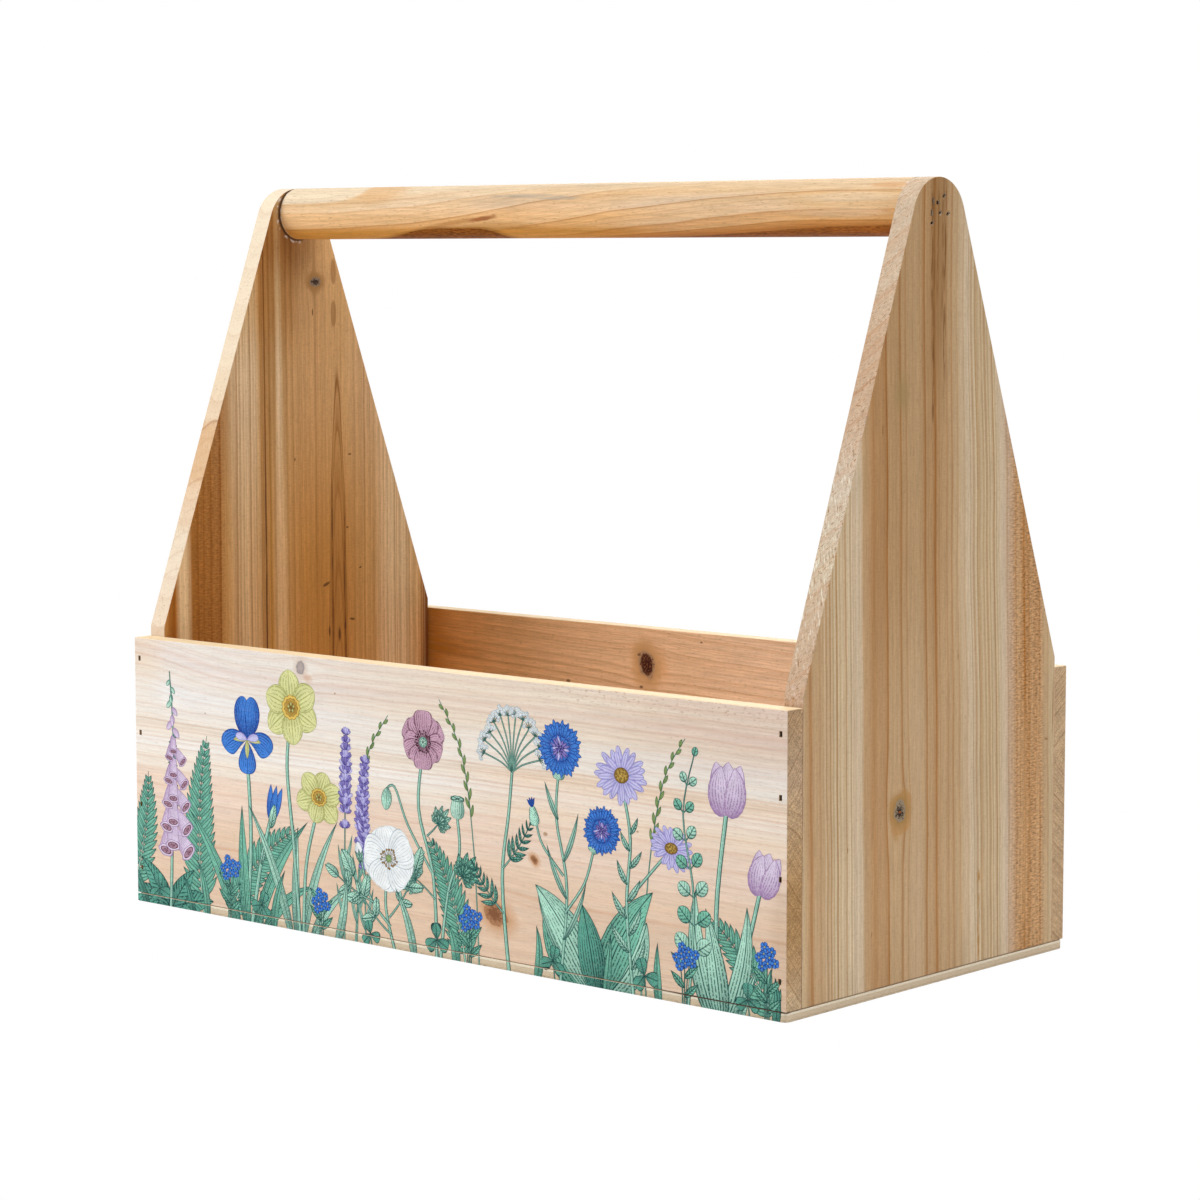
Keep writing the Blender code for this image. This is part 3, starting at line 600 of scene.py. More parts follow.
def left_panel_wood():
    """Browner wood: a pale streaky band at each side, a tall pointed figure, dark lines and a small knot."""
    graph, grain = panel_frame("left_panel_wood", LEFT_FACE_MM)
    field = grain.w + grain.wobble(0.9, 50, 130, seed=21.0) + grain.wobble(0.3, 10, 36, seed=22.0)
    field = grain.round_knot(field, 12, 298, 3.6, 1.5) + grain.d * 0.4
    pale, mid, deep = (0.86, 0.62, 0.37), (0.68, 0.38, 0.14), (0.45, 0.17, 0.03)
    grey = (0.82, 0.62, 0.41)
    low_bands = [
        (-92, mid), (-86.5, deep), (-83, deep), (-80, pale), (-75, pale), (-72, (0.41, 0.165, 0.035)),
        (-54, (0.43, 0.185, 0.05)), (-49, mid), (-44, (0.7, 0.42, 0.19)), (-38, (0.82, 0.57, 0.32)),
        (-30, (0.78, 0.5, 0.25)), (-25, mid), (-19, (0.62, 0.32, 0.09)), (-15.5, (0.8, 0.52, 0.27)),
        (-11, (0.8, 0.53, 0.28)), (-7, (0.66, 0.36, 0.13)), (3, (0.63, 0.31, 0.09)), (20, (0.6, 0.29, 0.08)),
        (30, (0.58, 0.27, 0.07)), (42, mid), (52, (0.7, 0.41, 0.17)), (58, (0.84, 0.57, 0.33)),
        (64, pale), (74, pale), (82, (0.78, 0.47, 0.21)), (85, (0.7, 0.38, 0.15)), (86.5, deep),
        (89, (0.2, 0.05, 0.0)), (93, (0.16, 0.04, 0.0)),
    ]
    high_bands = [
        (-60, (0.38, 0.17, 0.05)), (-52, (0.44, 0.22, 0.09)), (-48, (0.5, 0.3, 0.15)), (-42, grey), (-29, grey),
        (-26, mid), (-20, (0.56, 0.32, 0.13)), (-15.5, (0.6, 0.36, 0.16)), (-14.2, grey), (-12.2, grey),
        (-10.5, (0.64, 0.38, 0.17)), (-2, (0.7, 0.42, 0.2)), (10, (0.74, 0.44, 0.21)), (30, (0.72, 0.43, 0.2)),
        (55, (0.82, 0.55, 0.33)),
    ]
    colour = graph.ramp(field, PANEL_SPAN, low_bands)
    colour.over(graph.ramp(field, PANEL_SPAN, high_bands), fade(grain.l, 150, 260))
    fine = fade(field, -50, -42) * fade(field, -20, -26)
    fine = highest(fine, fade(field, 56, 62))
    rings = grain.rings(field, 2.3, 0.3, 1.5, seed=25.0)
    colour.over((0.36, 0.15, 0.035), rings * (fine * 0.6 + 0.36))
    pale_rings = grain.rings(field, 2.3, 0.35, 1.5, seed=35.0)
    colour.over((0.92, 0.74, 0.5), pale_rings * fine * 0.5)
    lines = [
        (-84, 1.3, 0.9), (-74.5, 0.4, 0.4), (-68, 0.6, 0.6), (-64, 0.5, 0.6), (-59.5, 0.5, 0.7), (-53, 0.7, 0.9),
        (-48, 0.5, 0.4), (-44, 0.4, 0.4), (-40, 0.5, 0.4), (-33, 0.5, 0.5), (-29, 0.4, 0.4), (-24.5, 0.5, 0.9),
        (-22.6, 0.7, 1.0), (-19.6, 0.5, 0.6), (-16.6, 0.4, 0.4), (-8, 0.6, 0.5), (-4, 0.5, 0.5), (0.5, 0.5, 0.5),
        (5, 0.5, 0.5), (8, 0.4, 0.3), (12, 0.6, 0.6), (16, 0.5, 0.4), (38, 0.6, 0.5), (42, 0.5, 0.4),
        (45.5, 0.6, 0.7), (49, 0.5, 0.5), (52, 0.6, 0.7), (56, 0.4, 0.4), (62, 0.4, 0.35), (67, 0.4, 0.35),
        (71, 0.4, 0.4), (76, 0.5, 0.5), (81, 0.5, 0.5),
    ]
    patchy = grain.noise(6, 90, seed=26.0) * 0.9 + 0.5
    colour.over((0.26, 0.075, 0.004), grain.lines(field, lines, PANEL_SPAN) * patchy * 1.05)
    dark = fade(abs(field + 22.8), 0.7, 0.2) * fade(grain.l, 235, 185, 0.3, 1.0)
    colour.over(BARK, dark * fade(grain.noise(1.2, 20, seed=29.0), 0.3, 0.5) * 0.95)
    fuzz = fade(field, -74, -69) * fade(field, -48, -54)
    curl = grain.noise(2.6, 0.75, seed=27.0, detail=2.0, roughness=0.6)
    colour.tint(1.0 + (curl - 0.5) * 1.9, fuzz * 0.6 + 0.18)
    bulge = (248 - grain.l) / 150
    flame = bulge - ((grain.w - 26.5) / 7.0 + grain.wobble(0.12, 8, 40, seed=28.0)) ** 2
    inside = fade(flame, -0.05, 0.1)
    colour.over((0.5, 0.24, 0.07), inside * 0.45)
    figure = [(0.0, 0.05, 0.9), (0.16, 0.07, 0.6), (0.36, 0.06, 0.5), (0.62, 0.07, 0.5), (0.85, 0.05, 0.4)]
    colour.over((0.28, 0.1, 0.02), grain.lines(flame, figure, (-1, 2)))
    grain.streaks(colour, 0.34, seed=31.0)
    for y, low_z, high_z in ((22, 112, 214), (31, 114, 200)):
        away = abs(grain.w - y + grain.wobble(1.6, 6, 60, seed=y) + grain.wobble(0.3, 3, 7, seed=y))
        reach = fade(grain.l, low_z - 45, low_z - 10) * fade(grain.l, high_z, high_z - 30)
        colour.over((0.3, 0.11, 0.02), fade(away, 0.4, 1.8, 0.55, 0.0) * reach)
        broken = fade(grain.noise(1.5, 15, seed=y * 0.1, detail=4.0, roughness=0.7), 0.42, 0.58)
        colour.over(BARK, fade(away, 0.8, 0.15) * reach * broken * 0.8)
    for y, z, w, l, turn in ((18, 146, 2.9, 0.9, 20), (36, 127, 2.2, 0.7, -10), (33, 174, 0.9, 0.6, 0),
                             (27, 120, 0.9, 3.8, 0), (42, 153, 1.0, 0.6, 20), (35, 211, 1.3, 0.5, 0),
                             (20, 122, 0.8, 3, 0), (31, 124, 0.7, 2.4, 0), (-3, 210, 0.5, 1.0, 0),
                             (10, 283, 0.5, 2.0, 0)):
        colour.over(BARK, grain.spot(y, z, w, l, turn, rough=0.4, seed=y, hard=0.5) * 0.85)
    for z, length in ((303, 6), (282, 6.5)):
        lens = grain.distance(24.5, z, 1.8, length, rough=0.2, seed=z)
        colour.over((0.34, 0.15, 0.05), fade(lens, 0.85, 1.2, 0.6, 0.0))
    stain = grain.spot(12, 298, 6.5, 5.5, rough=0.7, seed=9.0, hard=0.2)
    colour.over((0.46, 0.23, 0.08), stain * 0.7)
    knot_tones = ((0.46, 0.24, 0.09), (0.34, 0.25, 0.18), (0.05, 0.03, 0.025))
    grain.knot(colour, 12, 298, 3.6, 0.72, knot_tones, seed=6.0)
    # Painted shadow of the handle: a darker spot below the handle on the panel's inner face, and a darker top in
    # front of the handle.
    shade = grain.spot(-10, 322, 24, 26, rough=0.3, seed=8.0, hard=0.2)
    colour.tint((0.66, 0.56, 0.44), shade)
    handle_shade_flank = fade(grain.w, 2, -6) * fade(grain.l, 250, 290)
    colour.tint((0.84, 0.74, 0.6), handle_shade_flank)
    colour.tint((0.985, 0.97, 0.905))
    inner = fade(grain.d, 3, 1)
    gap = grain.distance(HANDLE_Y_MM, HANDLE_Z_MM, HANDLE_RADIUS_MM, HANDLE_RADIUS_MM, rough=0.1, seed=4.0)
    colour.over(BARK, fade(gap, 1.03, 1.1, 0.9, 0.0) * inner)
    daub = fade(gap, 1.04, 1.09) * fade(gap, 1.2, 1.12) * inner
    colour.over((0.76, 0.58, 0.38), (1.0 - inner) * 0.4)
    colour.over(GLUE, daub * fade(grain.noise(2.5, 2.5, seed=19.0, detail=2.0), 0.52, 0.62) * 0.7)
    colour.over(panel_edge(grain, right=False), fade(abs(grain.facing["X"]), *FACING_ASIDE))
    return grain.surface(colour)


def panel_edge(grain, right):
    """The planed slanted edges and the round top, which cross the grain: paler, with arcs of the rings."""
    graph = grain.graph
    if right:
        field = grain.l + grain.d * 0.82 + grain.wobble(2.0, 30, 40, seed=41.0)
        line_field = grain.l + grain.d * 0.82 + grain.wobble(0.5, 8, 8, seed=47.0)
        arcs = [
            (171, 0.35, 0.4), (193, 0.35, 0.6), (222, 0.3, 0.3), (248, 0.35, 0.4), (261.5, 0.4, 0.9),
            (275, 0.45, 1.0), (301, 0.4, 0.5),
        ]
        tones = [
            (120, (0.54, 0.34, 0.21)), (150, (0.57, 0.38, 0.24)), (185, (0.62, 0.47, 0.31)),
            (215, (0.62, 0.48, 0.34)), (240, (0.57, 0.38, 0.24)), (275, (0.55, 0.35, 0.21)),
            (300, (0.6, 0.43, 0.28)), (350, (0.57, 0.42, 0.28)),
        ]
        ring, spacing, flecks = 0.58, 9.0, 1.4
    else:
        sag = grain.d - 6
        line_field = grain.l + grain.d * grain.d * 0.05 + grain.wobble(0.6, 8, 8, seed=47.0)
        arcs = [
            (161, 0.35, 0.3), (169, 0.35, 0.4), (178.5, 0.4, 0.8), (203.5, 0.4, 0.8), (209, 0.3, 0.4),
            (216.5, 0.35, 0.7), (223, 0.3, 0.3), (231, 0.45, 1.0), (312, 0.35, 0.5), (325, 0.35, 0.5),
        ]
        field = grain.l - grain.d * 0.25 - sag * sag * 0.08 + grain.wobble(4.0, 30, 40, seed=41.0)
        tones = [
            (120, (0.8, 0.61, 0.43)), (176, (0.81, 0.64, 0.45)), (181, (0.76, 0.55, 0.36)),
            (200, (0.77, 0.53, 0.33)), (205, (0.7, 0.43, 0.23)), (228, (0.69, 0.42, 0.22)),
            (233, (0.77, 0.56, 0.36)), (265, (0.82, 0.64, 0.44)), (350, (0.83, 0.66, 0.46)),
        ]
        ring, spacing, flecks = 0.26, 12.0, 0.45
    edge = graph.ramp(grain.l + grain.wobble(3.0, 20, 20, seed=42.0), EDGE_SPAN, tones)
    edge.over((0.5, 0.22, 0.09), grain.rings(field, spacing, 0.45, 3.5, seed=43.0) * ring)
    edge.over((0.5, 0.24, 0.1), grain.rings(field, 2.6, 0.4, 2.0, seed=44.0) * ring * 0.45)
    edge.over((0.42, 0.18, 0.07), grain.lines(line_field, arcs, EDGE_SPAN) * (0.9 if right else 0.7))
    pores = graph.noise(grain.d / 1.6, field / 0.55, grain.w * 0.05)
    edge.tint(1.0 + (pores - 0.5) * (0.9 * flecks))
    edge.over(PORE, fade(pores, 0.6, 0.68) * flecks)
    torn = graph.noise((grain.l + grain.d * 1.7) / 7, (grain.d - grain.l * 0.4) / 0.9, 0.0)
    rough = fade(grain.l, 128, 150) * fade(grain.l, 205, 250, 1.0, 0.15) * flecks
    edge.over(PORE, fade(torn, 0.6, 0.74) * rough * 0.9)
    edge.over((0.86, 0.76, 0.58), fade(torn, 0.44, 0.3) * rough * fade(grain.l, 134, 165, 0.1, 0.5))
    edge.tint((1.035, 1.12, 1.23) if right else (0.98, 1.05, 1.14))
    knee = fade(grain.l, 128, 131) * fade(grain.l, 139, 134)
    glued = knee * fade(grain.noise(2.0, 2.0, seed=46.0, detail=2.0), 0.46, 0.6)
    edge.over((0.8, 0.66, 0.6), glued * 0.35)
    return edge


def handle_wood():
    """Honey wood with a cream patch at its left, long dark lines, and a dark figure low on its front."""
    graph = Graph("handle_wood")
    grain = Dowel(graph)
    arc = grain.arc
    steps = [
        (-200, 0.0), (-150, 0.024), (-100, 0.113), (-60, 0.274), (-30, 0.42), (0, 0.565), (25, 0.677), (50, 0.758),
        (80, 0.863), (125, 0.968), (150, 1.0), (200, 0.99),
    ]
    climb = graph.ramp(grain.l, LENGTH_SPAN, [(x, (share,) * 3) for x, share in steps])
    field = arc - climb * 27.0 + grain.wobble(0.9, 12, 60, seed=51.0)
    pale, tan, honey = (0.76, 0.6, 0.41), (0.72, 0.5, 0.29), (0.7, 0.43, 0.2)
    bands = [
        (-46, (0.36, 0.13, 0.03)), (-38, (0.42, 0.17, 0.04)), (-33.4, (0.58, 0.29, 0.1)), (-32.0, honey),
        (-28.2, (0.66, 0.38, 0.17)), (-27.2, tan), (-20.0, honey), (-18.8, tan), (-9.6, (0.72, 0.45, 0.22)),
        (-8.0, tan), (-1.0, (0.73, 0.49, 0.27)), (0.2, (0.75, 0.56, 0.36)), (4, (0.73, 0.52, 0.32)), (9, pale),
        (18, pale), (40, (0.74, 0.53, 0.34)),
    ]
    colour = graph.ramp(field, HANDLE_SPAN, bands)
    cream = grain.rounded(17, -196, 12.2, 62, 0.1)
    colour.over((0.76, 0.63, 0.45), fade(cream, 0.9, 1.04, 0.95, 0.0))
    colour.over((0.7, 0.44, 0.21), fade(cream, 0.98, 1.04) * fade(cream, 1.06, 1.5, 0.6, 0.0))
    rings = [
        (-35.2, 0.3, 0.8), (-32.5, 0.4, 1.0), (-30.2, 0.22, 0.5), (-27.7, 0.36, 1.0), (-24, 0.22, 0.35),
        (-22, 0.2, 0.3), (-19.2, 0.3, 1.0), (-16.4, 0.2, 0.35), (-14, 0.24, 0.4), (-11.5, 0.2, 0.3),
        (-8.7, 0.32, 1.0), (-6.6, 0.2, 0.3), (-4.5, 0.22, 0.4), (-0.4, 0.28, 0.8), (4, 0.25, 0.4), (7, 0.2, 0.3),
    ]
    colour.over((0.4, 0.155, 0.025), grain.lines(field, rings, HANDLE_SPAN) * 0.85)
    colour.over((0.5, 0.24, 0.07), grain.rings(field, 1.2, 0.4, 1.8, seed=53.0) * 0.3)
    # Painted light: the lower front and the underside are made lighter, standing in for fill light from the front
    # and below.
    colour.tint((1.25, 1.15, 1.0), fade(arc, 4.5, -3.5))
    colour.tint((1.05, 1.07, 1.14), grain.patch(0.3, -30, 3.6, 170, 0.3))
    colour.tint((0.87, 0.75, 0.52), fade(arc, -5.8, -11.0) * fade(grain.l, 20, 70, 1.0, 0.1))
    colour.over((0.74, 0.34, 0.05), fade(arc, -5.5, -11.5) * fade(grain.l, 60, -10) * 0.6)
    colour.over((0.8, 0.62, 0.42), grain.patch(-2.4, 158, 2.6, 34, 0.5) * 0.4)
    colour.over((0.78, 0.62, 0.43), grain.patch(4.6, 162, 3.0, 34, 0.5) * 0.45)
    colour.over((0.56, 0.27, 0.07), grain.patch(-7.2, -42, 2.8, 32, 0.5) * 0.5)
    below = -7.4 - arc
    edge = squircle(((below - 7.0) / 6.6) ** 2, ((grain.l + 72 + below * 1.3) / (23 + below * 2.2)) ** 2)
    edge = edge + (grain.noise(4, 18, seed=3.0, detail=3.0) - 0.5) * 0.25
    colour.over((0.36, 0.14, 0.02), fade(edge, 0.97, 1.2, 0.6, 0.0))
    fleck = fade(grain.noise(0.45, 3.4, seed=57.0, detail=3.0, roughness=0.7), 0.38, 0.62)
    figure = graph.mix((0.14, 0.036, 0.003), (0.42, 0.14, 0.02), fleck)
    colour.over(figure, fade(edge, 0.92, 0.98, 0.95, 0.0))
    low = fade(field - (grain.l - 150) * 0.024, -35.2, -36.2) * fade(arc, -6.8, -8.2)
    colour.over(figure, low * 0.8)
    tilted = arc - (grain.l + 51) * 0.12
    colour.over((0.5, 0.22, 0.06), grain.patch(-3.0, -72, 1.7, 24, 0.8, tilted) * 0.6)
    colour.over((0.36, 0.11, 0.03), grain.patch(-3.3, -52, 1.4, 11, 0.8, tilted) * 0.85)
    colour.over((0.72, 0.58, 0.4), fade(arc, 6.0, 13.0) * 0.5)
    beside = grain.patch(13, -124, 11, 24, 0.4) * fade(cream, 0.96, 1.02)
    colour.over((0.66, 0.38, 0.17), beside * 0.55)
    colour.over((0.62, 0.32, 0.14), grain.patch(10.6, 180, 2.4, 12, 0.8) * 0.55)
    for a, x, a_mm, x_mm, strength in ((7.4, -30, 1.4, 20, 0.62), (6.0, -4, 1.3, 16, 0.62),
                                       (5.6, -44, 3.6, 18, 0.14), (14, 15, 1.8, 24, 0.25)):
        colour.over((0.38, 0.32, 0.23), grain.patch(a, x, a_mm, x_mm, 1.2) * strength)
    scuffs = fade(grain.noise(0.5, 1.6, seed=58.0, detail=3.0, roughness=0.7), 0.66, 0.74)
    scuffed = fade(grain.noise(7, 26, seed=59.0), 0.5, 0.64)
    colour.over((0.92, 0.88, 0.84), scuffs * scuffed * fade(arc, -4, 4) * 0.7)
    cooler = fade(grain.l, 10, 60) * fade(grain.l, 145, 118) * fade(arc, -13, -9) * fade(arc, 9, 5)
    colour.tint((1.02, 1.09, 1.26), cooler)
    colour.tint((1.0, 1.04, 1.22), grain.patch(5.0, -25, 5.5, 62, 0.5) * 0.4)
    colour.tint((1.3, 1.28, 1.2), grain.patch(-11.5, 172, 3.5, 30, 0.5))
    colour.tint((0.955, 0.96, 0.97))
    height = grain.w + grain.wobble(1.2, 12, 70, seed=50.0)
    rings = grain.rings(height, 4.3, 0.4, 2.2, seed=54.0)
    colour.over(graph.mix((0.74, 0.53, 0.33), (0.5, 0.27, 0.11), rings * 0.7), fade(abs(arc), 17.5, 27))
    grain.streaks(colour, 0.36, seed=55.0)
    colour.over(BARK, fade(abs(grain.l), 188.6, 189.4) * 0.75)
    residue = highest(fade(grain.l, -187.5, -190), fade(grain.l, 186.5, 190))
    broken = fade(grain.noise(2.2, 1.6, seed=56.0, detail=3.0), 0.48, 0.62)
    colour.over(GLUE, residue * broken * 0.8)
    return grain.surface(colour, roughness=0.55, specular=0.08)


def plywood():
    """Pale outer veneers and a browner core, which show on the base's edges."""
    graph = Graph("plywood")
    grain = Grain(graph, "Y", "X", "Z")
    figure = grain.w + grain.wobble(16, 70, 190, seed=61.0)
    blotches = [(0.3, STRAW), (0.5, BONE), (0.7, (0.78, 0.61, 0.44))]
    face = graph.ramp(grain.noise(34, 260, seed=67.0), (0, 1), blotches)
    face.over((0.56, 0.34, 0.17), grain.rings(figure, 7.5, 0.45, 3.0, seed=62.0) * 0.6)
    face.over((0.62, 0.4, 0.22), grain.rings(figure, 2.2, 0.4, 2.0, seed=68.0) * 0.3)
    grain.streaks(face, 0.22, seed=63.0)
    up = grain.d + grain.wobble(0.1, 25, 25, seed=64.0)
    plies = graph.ramp(up, (0, 4), [
        (0.0, (0.7, 0.58, 0.42)), (0.75, (0.67, 0.54, 0.38)), (0.85, (0.42, 0.28, 0.16)),
        (0.95, (0.67, 0.54, 0.38)), (2.75, (0.71, 0.58, 0.42)), (2.85, (0.5, 0.36, 0.22)),
        (2.95, (0.83, 0.73, 0.57)), (4.0, (0.85, 0.76, 0.6)),
    ])
    fibres = grain.noise(0.8, 0.8, 0.18, seed=65.0, detail=2.0)
    plies.tint(1.0 + (fibres - 0.5) * 0.5)
    chips = fade(grain.noise(2.2, 2.2, 0.5, seed=66.0, detail=4.0, roughness=0.8), 0.5, 0.62)
    plies.over((0.26, 0.16, 0.08), chips * fade(up, 0.2, 1.1, 0.8, 0.12))
    plies.over((0.82, 0.72, 0.54), chips * fade(up, 2.9, 3.1) * 0.5)
    seam = fade(grain.d, 3.72, 3.86) * fade(grain.w, -97, -99) * fade(grain.l, 122, 150)
    plies.over(SEAM, seam * 0.9)
    plies.over(face, fade(abs(grain.facing["Z"]), *FACING_FLAT))
    return grain.surface(plies, roughness=0.7)


def brad_steel():
    """Dark steel with a little rust."""
    graph = Graph("brad_steel")
    grain = Grain(graph, "Y", "Z", "X")
    rust = fade(grain.noise(0.8, 0.8, seed=71.0, detail=2.0), 0.45, 0.7)
    colour = graph.mix((0.06, 0.05, 0.045), (0.035, 0.02, 0.013), rust)
    return graph.surface(colour, 0.42, metallic=1.0)


# Inks of the print: each a light and a dark one
LEAF_INK = (linear(184, 232, 211), linear(10, 80, 74))
TEAL_INK = (linear(130, 202, 177), linear(4, 64, 62))
DEEP_INK = (linear(98, 172, 152), linear(2, 50, 52))
PALE_INK = (linear(192, 228, 210), linear(44, 116, 104))
STEM_INK = (linear(170, 222, 201), linear(8, 74, 70))
WHITE_INK = (linear(244, 247, 248), linear(166, 182, 192))
LILAC_INK = (linear(206, 203, 238), linear(136, 130, 196))
ORCHID_INK = (linear(222, 208, 230), linear(152, 116, 164))
VIOLET_INK = (linear(146, 136, 206), linear(64, 50, 126))
BLUE_INK = (linear(66, 134, 220), linear(10, 50, 136))
NAVY_INK = (linear(40, 84, 170), linear(12, 32, 88))
LEMON_INK = (linear(221, 222, 160), linear(150, 154, 78))
GOLD_INK = (linear(228, 196, 96), linear(142, 100, 30))
OCHRE_INK = (linear(200, 168, 80), linear(100, 68, 22))
PLUM_INK = (linear(202, 162, 184), linear(88, 38, 62))
WINE_INK = (linear(122, 66, 84), linear(58, 22, 34))
MOSS_INK = (linear(166, 190, 122), linear(58, 96, 50))

# Hatching's phase: for each mm along, for each mm out from the rib, and at the edge
VEINS = (0.62, -0.75, 0.0)
LONG = (0.0, 0.0, 2.5)
GOLDEN_ANGLE = 2.4  # radians from each dot to the next, which strews them evenly
TIP = 0.999  # the share of a path that is its tip
INSIDE_SHAPES = 1  # the triangulation's output: triangles within the shapes alone
SNAP_MM = 1e-4  # places this close are one
TINY_AREA = 1e-9


def arc_path(x, z, angle, length, bend, steps, rounded=True):
    """Places from (x, z) on, the heading turning by bend degrees in all. rounded sets the first and last closer."""
    places, done = [(x, z)], 0.0
    for i in range(1, steps + 1):
        share = 0.5 - 0.5 * math.cos(math.pi * i / steps) if rounded else i / steps
        dx, dz = heading(angle + bend * (share + done) / 2, length * (share - done))
        x, z, done = x + dx, z + dz, share
        places.append((x, z))
    return places


def curve(points, steps):
    """A smooth path through points."""
    ends = [points[0], *points, points[-1]]
    path = []
    for p0, p1, p2, p3 in zip(ends, ends[1:], ends[2:], ends[3:]):
        for i in range(steps):
            t = i / steps
            path.append(tuple(
                (2 * b + (c - a) * t + (2 * a - 5 * b + 4 * c - d) * t * t + (3 * b - a - 3 * c + d) * t ** 3) / 2
                for a, b, c, d in zip(p0, p1, p2, p3)
            ))
    return [*path, points[-1]]


def shares_of(path):
    """How far along each place lies, from 0 to 1, and the whole length."""
    run = [0.0]
    for a, b in zip(path, path[1:]):
        run.append(run[-1] + math.dist(a, b))
    return [r / run[-1] for r in run], run[-1]


def on_path(path, share):
    """The place and heading at a share of a path."""
    shares, _ = shares_of(path)
    i = max(1, next((n for n, s in enumerate(shares) if s >= share), len(path) - 1))
    (x0, z0), (x1, z1) = path[i - 1], path[i]
    t = (share - shares[i - 1]) / (shares[i] - shares[i - 1])
    return x0 + (x1 - x0) * t, z0 + (z1 - z0) * t, math.degrees(math.atan2(z1 - z0, x1 - x0))


class Artwork:
    """A printed picture: flat inked shapes in mm on the front, each painted over those before it.

    A vertex knows how far it is from the shape's edge and from its rib, the hatching's phase and strength,
    and how much dark ink shades it.
    """

    THIN = 0.03

    def __init__(self):
        self.places, self.marks, self.shapes, self.ribs = [], [], [], []

    def vertex(self, x, z, *marks):
        self.places.append((x, z))
        self.marks.append(marks)
        return len(self.places) - 1

    def ribbon(self, path, widths, ink, hatch=LONG, strength=0.0, rib=0.0, shade=lambda share, side: 0.0):
        """A shape along a path, such as a leaf or a stem. widths are its half widths."""
        shares, length = shares_of(path)
        along, out, edge = hatch
        rows = []
        for i, ((x, z), share, wide) in enumerate(zip(path, shares, widths)):
            (xa, za), (xb, zb) = path[max(i - 1, 0)], path[min(i + 1, len(path) - 1)]
            run = math.hypot(xb - xa, zb - za)
            nx, nz = (za - zb) / run, (xb - xa) / run
            row = []
            for side in (1, 0, -1):
                phase = along * share * length + (out * wide + edge) * abs(side)
                row.append(self.vertex(
                    x + nx * wide * side, z + nz * wide * side,
                    0.0 if side else wide, wide if side else 0.0, phase, strength, min(shade(share, side), 1.0),
                ))
            rows.append(row)
        triangles = []
        for a, b in zip(rows, rows[1:]):
            self.ribs.append((a[1], b[1]))
            for left, right in ((0, 1), (1, 2)):
                triangles += [(a[left], a[right], b[right]), (a[left], b[right], b[left])]
        outline = [row[2] for row in rows] + [row[0] for row in reversed(rows)]
        self.shapes.append((outline, triangles, ink, rib))

    def leaf(self, x, z, angle, length, width, bend=0.0, ink=LEAF_INK, root=0.7, tip=1.1, steps=8, hatch=VEINS,
             strength=0.9, rib=0.9, shade=0.55, half=0.4):
        """A leaf or petal. root and tip say how it widens and narrows, shade darkens its root, half one side."""
        path = arc_path(x, z, angle, length, bend, steps)
        widest = root / (root + tip)
        most = widest ** root * (1 - widest) ** tip
        widths = [max(s ** root * (1 - s) ** tip / most * width / 2, self.THIN) for s in shares_of(path)[0]]
        darker = 1 if bend <= 0 else -1
        self.ribbon(path, widths, ink, hatch, strength, rib,
                    lambda share, side: shade * (1 - share) ** 2 + half * max(side * darker, 0))

    def stem(self, points, first, last, ink=STEM_INK, steps=5):
        """A stem through points, its whole width going from first to last. Returns its path."""
        path = curve(points, steps)
        shares, _ = shares_of(path)
        widths = [(first + (last - first) * s) / 2 for s in shares]
        self.ribbon(path, widths, ink, (0.0, 0.0, 1.4), 0.6, 0.0, lambda share, side: 0.1 + 0.7 * max(-side, 0))
        return path

    def disc(self, x, z, wide, high, ink, turn=0.0, lobes=0, depth=0.0, points=12, rings=0.0, strength=0.0,
             middle=0.0, rim=0.0):
        """A round shape, wide and high across. rings is its hatching's count; middle and rim shade it."""
        c, s = heading(turn)
        near = min(wide, high) / 2
        centre = self.vertex(x, z, near, near, 0.0, strength, middle)
        outline = []
        for i in range(points):
            a = 2 * math.pi * i / points
            size = 1 - depth * (0.5 + 0.5 * math.cos(lobes * a)) if lobes else 1.0
            u, v = math.cos(a) * wide / 2 * size, math.sin(a) * high / 2 * size
            outline.append(self.vertex(x + u * c - v * s, z + u * s + v * c, 0.0, near, rings, strength, rim))
        triangles = [(centre, a, b) for a, b in zip(outline, outline[1:] + outline[:1])]
        self.shapes.append((outline, triangles, ink, 0.0))

    def petals(self, x, z, count, length, width, ink, start, squash, lean, root, tip, inner, jitter, bend,
               strength, shade, rib, steps, lines=2.5):
        """A ring of petals seen at a slant: squash flattens it, lean turns it."""
        angles = [start + 360 * i / count for i in range(count)]
        for angle in sorted(angles, key=lambda angle: -abs(math.sin(math.radians(angle) / 2 - 0.8))):
            a = math.radians(angle + chance.uniform(-1, 1) * 120 / count * jitter * 2)
            u, v = math.cos(a), math.sin(a) * squash
            size = math.hypot(u, v)
            way = math.degrees(math.atan2(v, u)) + lean
            dx, dz = heading(way, inner * size)
            self.leaf(x + dx, z + dz, way, (length - inner) * size * (1 + chance.uniform(-jitter, jitter)),
                      width * (0.55 + 0.45 * squash + 0.2 * (1 - size)), bend * chance.choice((-1, 1)), ink, root,
                      tip, steps, (0.0, 0.0, lines), strength, rib, shade, 0.12)

    def dots(self, x, z, count, radius, size, ink, squash=1.0):
        """Small dots strewn round a place."""
        for i in range(count):
            a = GOLDEN_ANGLE * i + chance.uniform(-0.2, 0.2)
            far = radius * math.sqrt((i + 0.5) / count)
            self.disc(x + far * math.cos(a), z + far * math.sin(a) * squash, size, size, ink, points=6,
                      middle=chance.uniform(0.0, 0.5), rim=0.4)

    def flatten(self, windows, holes, cuts):
        """The picture cut into triangles that don't overlap, each with its topmost shape.

        windows are the (x0, z0, x1, z1) that take ink, holes are left out of them, and cuts are lines that
        no triangle crosses.
        """
        places = [Vector(place) for place in self.places]
        edges, faces = list(self.ribs), [outline for outline, *_ in self.shapes]

        def add_box(x0, z0, x1, z1):
            first = len(places)
            places.extend(Vector(p) for p in ((x0, z0), (x1, z0), (x1, z1), (x0, z1)))
            return [first + k for k in range(4)]

